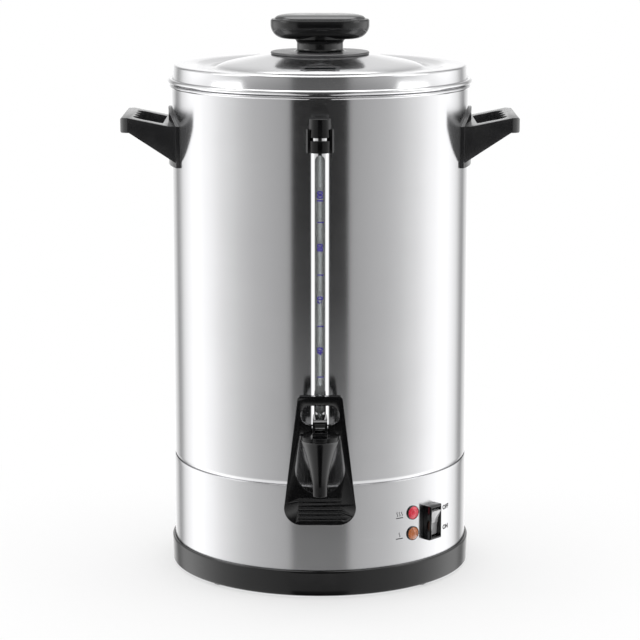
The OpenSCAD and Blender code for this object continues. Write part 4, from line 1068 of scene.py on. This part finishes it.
@dataclass(frozen=True)
class LidSet(Assembly):
    """Lid with its steam hood, heat disc, knob and knob cap."""

    wall_r: float = 139.9
    sheet: float = 0.8
    top: float = 485.5
    groove: float = 482.5
    dome: float = 494.5
    dome_r: float = 99.9
    dome_foot: float = 3.2
    disc_r: float = 47.0
    disc_t: float = 3.0
    screw_r: float = 2.7
    bead_r: float = 2.5
    hood_front: float = 88.9
    hood_back: float = 67.9
    hood_w: float = 36.0
    hood_wall: float = 1.2
    hood_rise: float = 2.8
    neck_r: float = 22.0
    neck_h: float = 12.0
    grip_w: float = 94.0
    grip_d: float = 62.0
    grip_h: float = 23.0
    cap_seat: float = 6.2

    def build(self) -> None:
        """Builds the lid and what stands on it."""
        self.shell()
        self.hood()
        self.disc()
        self.knob()

    def dome_at(self, radius: float) -> float:
        """Finds the dome's height: a rounded foot, then an even slope.

        Args:
            radius: where it is read.

        Returns:
            The height of its top face.
        """
        run = self.dome_r - self.disc_r - 1.0
        inward = min(self.dome_r - radius, run)
        slope = (self.dome - self.groove - self.dome_foot) / run
        return self.groove + slope * inward + self.dome_foot * (1.0 - math.exp(-inward / 6.0))

    def dome_line(self, drop: float, count: int = 24) -> list[Flat]:
        """Draws the dome's outline from the disc to its foot.

        Args:
            drop: how far it is lowered.
            count: number of steps along it.

        Returns:
            (radius, height) pairs.
        """
        start, end = self.disc_r + 1.0, self.dome_r
        radii = [start + (end - start) * i / count for i in range(count + 1)]
        return [(r, self.dome_at(r) - drop) for r in radii]

    def wedge(self, name: str, inset: float, drop: float) -> Bench:
        """Models the triangular block that the hood is cut from.

        Args:
            name: the name of the mesh.
            inset: how far its sides are drawn in.
            drop: how far its roof is lowered.

        Returns:
            The bench that holds it.
        """
        half = self.hood_w / 2 - inset
        front = self.hood_front - inset
        back = self.hood_back + 2 * inset
        low = self.groove - 1.0
        corners = ((0, -back), (half, -front), (-half, -front))
        bench = Bench(name).draw([Vector((x, y, low)) * MM for x, y in corners], fill=True)
        bench.pull((0, 0, MM))
        for place, top in ((back, self.dome_at(self.hood_back) + 0.6),
                           (front, self.dome_at(self.hood_front) + self.hood_rise)):
            bench.pick(lambda at: at.z > (low + 0.5) * MM and abs(at.y + place * MM) < 0.5 * MM, "VERT")
            bpy.ops.transform.translate(value=(0, 0, (top - drop - low - 1.0) * MM))
        return bench.outward()

    def shell(self) -> None:
        """Turns the pressed lid and opens the steam way under the hood."""
        wall, sheet, groove, top, hole = self.wall_r, self.sheet, self.groove, self.top, self.screw_r
        bead = self.rim + 0.3 + self.bead_r
        bead_c = self.tank_r + 3.5 - self.bead_r
        outline = [(hole, self.dome), *self.dome_line(0.0), (wall - 28.2, groove), (wall - 26.4, groove + 0.5),
                   (wall - 21.6, top - 0.5), (wall - 19.8, top), *arc((wall - 2.7, top - 2.2), 2.2, 90, 3, 8),
                   (wall, bead + 1.4), (wall + 0.3, bead + 0.6),
                   *arc((bead_c, bead), self.bead_r, 168, -168, 24),
                   (wall, bead - 0.6), (wall, self.rim - 6.0), (wall - sheet, self.rim - 6.0),
                   *arc((wall - 2.6, top - 2.6), 1.8, 0, 90, 6), (wall - 20.4, top - sheet),
                   (wall - 26.8, groove - 0.4), (wall - 28.2, groove - sheet), *reversed(self.dome_line(sheet)),
                   (hole, self.dome - sheet)]
        bench = Bench("lid_shell").lathe(outline, 256)
        bench.cut_with(self.wedge("steam_way", self.hood_wall, sheet).done())
        dress(bench.done(40), Finishes.LID, Body.LID, ["lid"])

    def hood(self) -> None:
        """Cuts the steam hood: hollow, seated on the dome and open in front."""
        edge, low = self.dome_r + 6.0, self.groove - 6.0
        plug = Bench("plug").lathe([(0, low), (0, self.dome - 0.4), *self.dome_line(0.4),
                                    (edge, self.groove - 0.4), (edge, low)], 192).done()
        foot = self.dome_at(self.hood_front) + 0.3
        roof = self.dome_at(self.hood_front) + self.hood_rise - self.sheet
        mouth = Bench("mouth").block((0, -self.hood_front * MM, (foot + roof) / 2 * MM),
                                     ((self.hood_w - 8) * MM, 4.8 * MM, (roof - foot) * MM)).done()
        inner = self.wedge("hollow", self.hood_wall, self.sheet).done()
        bench = self.wedge("steam_hood", 0.0, 0.0)
        for cutter in (plug, inner, mouth):
            bench.cut_with(cutter)
        dress(bench.soften(0.3 * MM, 3, 30).done(25), Finishes.LID, Body.LID)

    def disc(self) -> None:
        """Turns the heat disc."""
        r, t, hole = self.disc_r, self.disc_t, self.screw_r
        outline = [(hole, 0), (r - 1.6, 0), *arc((r - 1.4, 1.4), 1.4, -85, 60, 10),
                   (self.neck_r + 6.0, t), (hole, t)]
        turned("heat_disc_turned", outline, Finishes.DISC, ["heat_disc"], 192, body=Body.LID,
               foot=(0, 0, self.dome * MM))

    def knob(self) -> None:
        """Turns the neck, and models the oval grip and its cap."""
        foot = self.dome + self.disc_t
        flare = self.neck_r + 5.0
        hole = self.screw_r - 0.15
        neck = [(hole, 0), *arc((self.neck_r + 3, 3), 3, 270, 180, 8),
                *arc((flare, self.neck_h - 5), 5, 180, 90, 10), (flare, self.neck_h + 4.5),
                (hole, self.neck_h + 4.5)]
        turned("knob_neck", neck, Finishes.KNOB, ["lid_knob"], 160, 40, Body.LID, (0, 0, foot * MM))
        foot += self.neck_h
        r, h, rest = self.grip_d / 2, self.grip_h, self.grip_h - self.cap_seat
        shift = (self.grip_w - self.grip_d) / 2 * MM
        seat = r - 3.8
        grip = [(0, 0), (r - 13, 0), *arc((r - 13, 13), 13, -84, -4, 16), (r, h - 6.4), (r - 0.12, h - 5.9),
                (r - 0.9, h - 4.75), (r - 1.3, h - 4.6), (seat, h - 4.6), (seat, rest), (0, rest)]
        bench = Bench("knob_grip").lathe(grip, 96, (0, 0, foot * MM)).stretch(shift)
        dress(bench.done(35), Finishes.KNOB, Body.LID)
        r = seat - 0.2
        cap = [(0, 0), (r, 0), (r, 2.2), (r - 0.25, 2.7), (r - 0.7, 3.1), (r - 1.8, 4.05), (r - 3.2, 4.65),
               (r - 6.0, 5.35), (r - 9.8, 5.95), (r - 14.0, 6.15), (0, 6.2)]
        bench = Bench("knob_cap_crowned").lathe(cap, 96, (0, 0, (foot + rest) * MM)).stretch(shift)
        dress(bench.done(30), Finishes.CAP, Body.LID, ["knob_cap"])


@dataclass(frozen=True)
class Gauge(Assembly):
    """Level gauge: slotted shield, sight tube with its figures, collar and cap."""

    forward: float = 158.0
    shield_r: float = 8.4
    shield_t: float = 0.8
    low: float = 167.5
    high: float = 438.9
    slot_low: float = 181.5
    slot_high: float = 417.0
    slot_w: float = 8.9
    tube_r: float = 6.8
    tube_t: float = 1.4
    tube_low: float = 160.5
    tube_high: float = 441.9
    cap_z: float = 432.6
    cap_h: float = 17.0
    figure_h: float = 7.0
    figures: tuple[tuple[str, float], ...] = (("100", 379.9), ("80", 334.0), ("60", 286.2), ("40", 239.4))
    tick: Point = (5.6, 0.04, 0.9)
    ticks: tuple[float, ...] = (356.9, 309.2, 262.3, 215.5)

    def build(self) -> None:
        """Builds the gauge."""
        self.shield()
        self.tube()
        self.marks()
        self.cap()
        refine(Finishes.TAP, Body.URN, 3, gauge_collar=0.6)

    def shield(self) -> None:
        """Turns the shield and cuts its long round-ended slot."""
        inner, out = self.shield_r - self.shield_t, self.shield_r
        outline = [(inner, self.low), (out, self.low), (out, self.high), (inner, self.high)]
        bench = Bench("shield_tube").lathe(outline, 192, (0, -self.forward * MM, 0))
        middle = (self.slot_low + self.slot_high) / 2
        reach = (self.slot_high - self.slot_low - self.slot_w) / 2
        slot = Bench("slot").rod(self.slot_w / 2 * MM, 10 * MM, 64).done()
        slot.data.transform(Matrix.Translation((0, -self.forward * MM, middle * MM))
                            @ Matrix.Rotation(math.pi / 2, 4, "X"))
        for vertex in slot.data.vertices:
            vertex.co.z += math.copysign(reach * MM, vertex.co.z - middle * MM + 1e-7)
        bench.cut_with(slot)
        dress(bench.done(40), Finishes.BRIGHT, stands_for=["gauge_shield"])

    def tube(self) -> None:
        """Turns the clear sight tube."""
        inner, out = self.tube_r - self.tube_t, self.tube_r
        outline = [(inner, self.tube_low), (out, self.tube_low), (out, self.tube_high), (inner, self.tube_high)]
        turned("sight_glass", outline, Finishes.TUBE, ["gauge_tube"], 96, 40, foot=(0, -self.forward * MM, 0))

    def marks(self) -> None:
        """Prints plain figures and ticks up the tube."""
        face = -(self.forward + self.tube_r + 0.08) * MM
        for figure, z in self.figures:
            dress(lettering(f"figure_{figure}", figure, self.figure_h * MM, Vector((0.3 * MM, face, z * MM)), 0.0,
                            upright=False), Finishes.INK)
        for z in self.ticks:
            bench = Bench(f"tick_{z:.0f}").block((0.5 * MM, face, z * MM), Vector(self.tick) * MM)
            dress(bench.soften(0.01 * MM, 1).done(), Finishes.INK)

    def cap(self) -> None:
        """Turns the tapered cap."""
        r, h, bore = self.shield_r, self.cap_h, self.shield_r + 0.1
        glass = self.tube_r + 0.1
        seat = self.high - self.cap_z
        outline = [(0, h - 3.0), (glass - 1.5, h - 3.0), (glass - 1.5, seat + 3.0), (glass, seat + 3.0),
                   (glass, seat), (bore, seat), (bore, 0), (r + 1.6, 0), (r + 1.8, 0.2), (r + 1.8, 1.9),
                   (r + 1.72, 2.3), (r + 1.25, h - 1.3), *arc((r + 0.35, h - 0.9), 0.9, 5, 85, 8),
                   (r - 1.4, h + 0.1), (r - 4.4, h + 0.3), (0, h + 0.4)]
        turned("gauge_cap_turned", outline, Finishes.TAP, ["gauge_cap"],
               foot=(0, -self.forward * MM, self.cap_z * MM))


@dataclass(frozen=True)
class Tap(Assembly):
    """Push tap: spout, neck, bonnet, yoked lever and valve stem."""

    axis_z: float = 152.0
    forward: float = 195.0
    tip_r: float = 6.7
    bore: float = 5.0
    chamber_r: float = 17.6
    chamber_top: float = 165.5
    chamber_wall: float = 4.9
    spout_z: float = 112.5
    flare_z: float = 120.5
    valve_seat: float = 143.0
    neck_r: float = 9.9
    neck_from: float = 169.0
    neck_to: float = 182.6
    shank_bore: float = 4.5

    def build(self) -> None:
        """Builds the tap."""
        self.spout()
        self.neck()
        refine(Finishes.TAP, Body.URN, 3, tap_shank=0.4, tap_bonnet=0.6)
        refine(Finishes.LEVER, Body.LEVER, 4, tap_lever=0.9)
        refine(Finishes.BRIGHT, Body.LEVER, 2, lever_pin=0.2)
        refine(Finishes.BRIGHT, Body.STEM, 3, valve_stem=0.5)

    def flare(self, z: float) -> float:
        """Returns the spout's outside radius at a height."""
        part = max(0.0, z - self.flare_z) / (self.chamber_top - self.flare_z)
        return self.tip_r + (self.chamber_r - self.tip_r) * part ** 1.4

    def spout(self) -> None:
        """Turns the trumpet spout with its valve chamber."""
        count = 28
        top = self.chamber_top
        heights = [self.flare_z + (top - 1.2 - self.flare_z) * i / count for i in range(count + 1)]
        plug = self.chamber_r - self.chamber_wall + 0.05
        outline = [(self.bore, self.spout_z), *arc((self.tip_r - 0.6, self.spout_z + 0.6), 0.6, -90, 0, 6),
                   *[(self.flare(z), z) for z in heights], *arc((self.chamber_r - 1.0, top - 0.9), 0.9, 10, 90, 6),
                   (plug, top), (plug, top - 7.8), (plug - 1.05, top - 7.8), (8.2, self.valve_seat),
                   (self.bore, self.valve_seat)]
        turned("spout_turned", outline, Finishes.TAP, ["tap_body"], 160, foot=(0, -self.forward * MM, 0))

    def neck(self) -> None:
        """Turns the neck that joins the spout to the shank."""
        r, bore, length = self.neck_r, self.shank_bore, self.neck_to - self.neck_from
        turned("spout_neck", [(bore, 0), (r - 0.6, 0), (r, 0.6), (r, length), (bore, length)], Finishes.TAP,
               steps=96, foot=(0, -self.neck_from * MM, self.axis_z * MM), axis=(0, -1, 0))


@dataclass(frozen=True)
class Controls(Assembly):
    """Lamps, switch, inlet and the print beside them."""

    lamp_angle: float = 37.7
    lamp_heights: tuple[float, float] = (54.5, 74.5)
    lens_r: float = 6.0
    print_angle: float = 57.3
    print_h: float = 6.0
    words: tuple[tuple[str, float], ...] = (("OFF", 8.0), ("ON", -11.5))
    sign_angle: float = 31.6
    wave_gap: float = 2.6
    bar_half: float = 3.8

    def build(self) -> None:
        """Builds the controls."""
        warm, heat = self.lamp_heights
        self.lamp("amber", warm, Finishes.AMBER)
        self.lamp("red", heat, Finishes.RED)
        refine(Finishes.SWITCH, Body.URN, 3, switch_frame=0.35)
        refine(Finishes.ROCKER, Body.ROCKER, 3, switch_rocker=0.45)
        refine(Finishes.SWITCH, Body.URN, 2, inlet_socket=0.4)
        for words, rise in self.words:
            place = facing(self.print_angle) * (self.skirt_r + 0.06) * MM
            place.z = (self.switch_z + rise) * MM
            dress(lettering(f"print_{words.lower()}", words, self.print_h * MM, place, self.print_angle),
                  Finishes.PRINT)
        self.heat_sign("heat_sign", heat, 3)
        self.heat_sign("warm_sign", warm, 1)

    def lamp(self, name: str, z: float, finish: Finish) -> None:
        """Turns one lamp: bezel and lens.

        Args:
            name: the lamp's colour.
            z: its height in millimetres.
            finish: the lens's finish.
        """
        out = facing(self.lamp_angle)
        foot = out * self.skirt_r * MM
        foot.z = z * MM
        r = self.lens_r
        bezel = [(r - 1.7, -14), (r - 0.8, -14), (r - 0.8, 0.1), (r + 0.8, 0.1), (r + 0.8, 0.8),
                 (r + 0.6, 1.3), (r + 0.3, 1.45), (r + 0.1, 1.4), (r + 0.1, 0.9), (r - 1.7, 0.9)]
        turned(f"bezel_{name}", bezel, Finishes.BEZEL, ["lamp_bezels"], 64, 30, foot=foot, axis=out)
        lens = [(0, -12), (r - 1.8, -12), (r - 1.8, 1.0), (r, 1.0), (r, 1.35), (r - 0.5, 1.9), (r - 1.3, 2.5),
                (r - 2.2, 2.95), (r - 2.6, 2.9), (r - 2.9, 3.05), (r - 3.6, 3.6), (r - 4.6, 4.0), (0, 4.2)]
        turned(f"lens_{name}", lens, finish, [f"lamp_lens_{name}"], 64, 40, foot=foot, axis=out)

    def heat_sign(self, name: str, z: float, waves: int) -> None:
        """Prints a heat sign: waves that rise over a bar.

        Args:
            name: the name of the piece.
            z: its height in millimetres.
            waves: number of waves.
        """
        strokes = []
        for i in range(waves):
            x = (i - (waves - 1) / 2) * self.wave_gap
            line = [(x + 0.55 * math.sin(step * math.pi / 4), -1.6 + step * 0.55) for step in range(9)]
            strokes.append((line, Vector((0.6 * MM, 0, 0))))
        strokes.append(([(-self.bar_half, -3.1), (self.bar_half, -3.1)], Vector((0, 0, 0.8 * MM))))
        out = (self.skirt_r + 0.07) * MM
        parts = []
        for line, width in strokes:
            bench = Bench(name).draw([Vector((x * MM, -out, (z + y) * MM)) - width / 2 for x, y in line])
            for step in (width, (0, -0.03 * MM, 0)):
                bench.everything()
                bench.pull(step)
            parts.append(bench.outward().done())
        clear_selection()
        for part in parts:
            part.select_set(True)
        bpy.context.view_layer.objects.active = parts[0]
        bpy.ops.object.join()
        sign = bpy.context.object
        sign.name = name
        sign.data.transform(Matrix.Rotation(math.radians(self.sign_angle), 4, "Z"))
        sign.select_set(False)
        dress(sign, Finishes.PRINT)


@dataclass(frozen=True)
class Handles(Assembly):
    """The two loop handles."""

    edge: float = 1.1

    def build(self) -> None:
        """Rounds the handles' edges."""
        refine(Finishes.HANDLE, Body.URN, 4, handle_left=self.edge, handle_right=self.edge)


@dataclass(frozen=True)
class Percolator(Assembly):
    """Pump stem, basket and its cover."""

    def build(self) -> None:
        """Dresses the percolator."""
        refine(Finishes.INNER, Body.PUMP, 2, pump_stem=0)
        refine(Finishes.INNER, Body.BASKET, 2, basket=0)
        refine(Finishes.INNER, Body.SPREADER, 2, basket_cover=0)


@dataclass(frozen=True)
class Inside(Assembly):
    """The construction nodes that keep their own mesh, mostly inside the urn, by finish."""

    nodes: tuple[tuple[Finish, str], ...] = (
        (Finishes.INNER, "tank_floor"),
        (Finishes.GALVANISED, "base_plate"),
        (Finishes.ALUMINIUM, "heater_plate"),
        (Finishes.HEATED, "brew_element warm_element"),
        (Finishes.PHENOLIC, "thermostats"),
        (Finishes.SLEEVE, "thermal_fuse"),
        (Finishes.BRASS, "inlet_pins switch_terminals"),
        (Finishes.PLATED, "shank_nut"),
        (Finishes.SILICONE, "shank_washers valve_plug gauge_seal pump_valve"),
        (Finishes.ZINC, "base_screws tie_rods tie_nuts inlet_screws lamp_clips valve_spring gauge_screw "
                        "handle_screws knob_screw"))

    def build(self) -> None:
        """Lays the finishes."""
        for finish, names in self.nodes:
            for name in names.split():
                finish.lay_on(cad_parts[name])
                log.info("%s: kept, %s", name, finish.name)


def main() -> None:
    """Builds the urn's looks and the studio."""
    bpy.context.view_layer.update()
    Studio().build()
    for part in (Casing(), LidSet(), Gauge(), Tap(), Controls(), Handles(), Percolator(), Inside()):
        part.build()


if __name__ == "__main__":
    main()
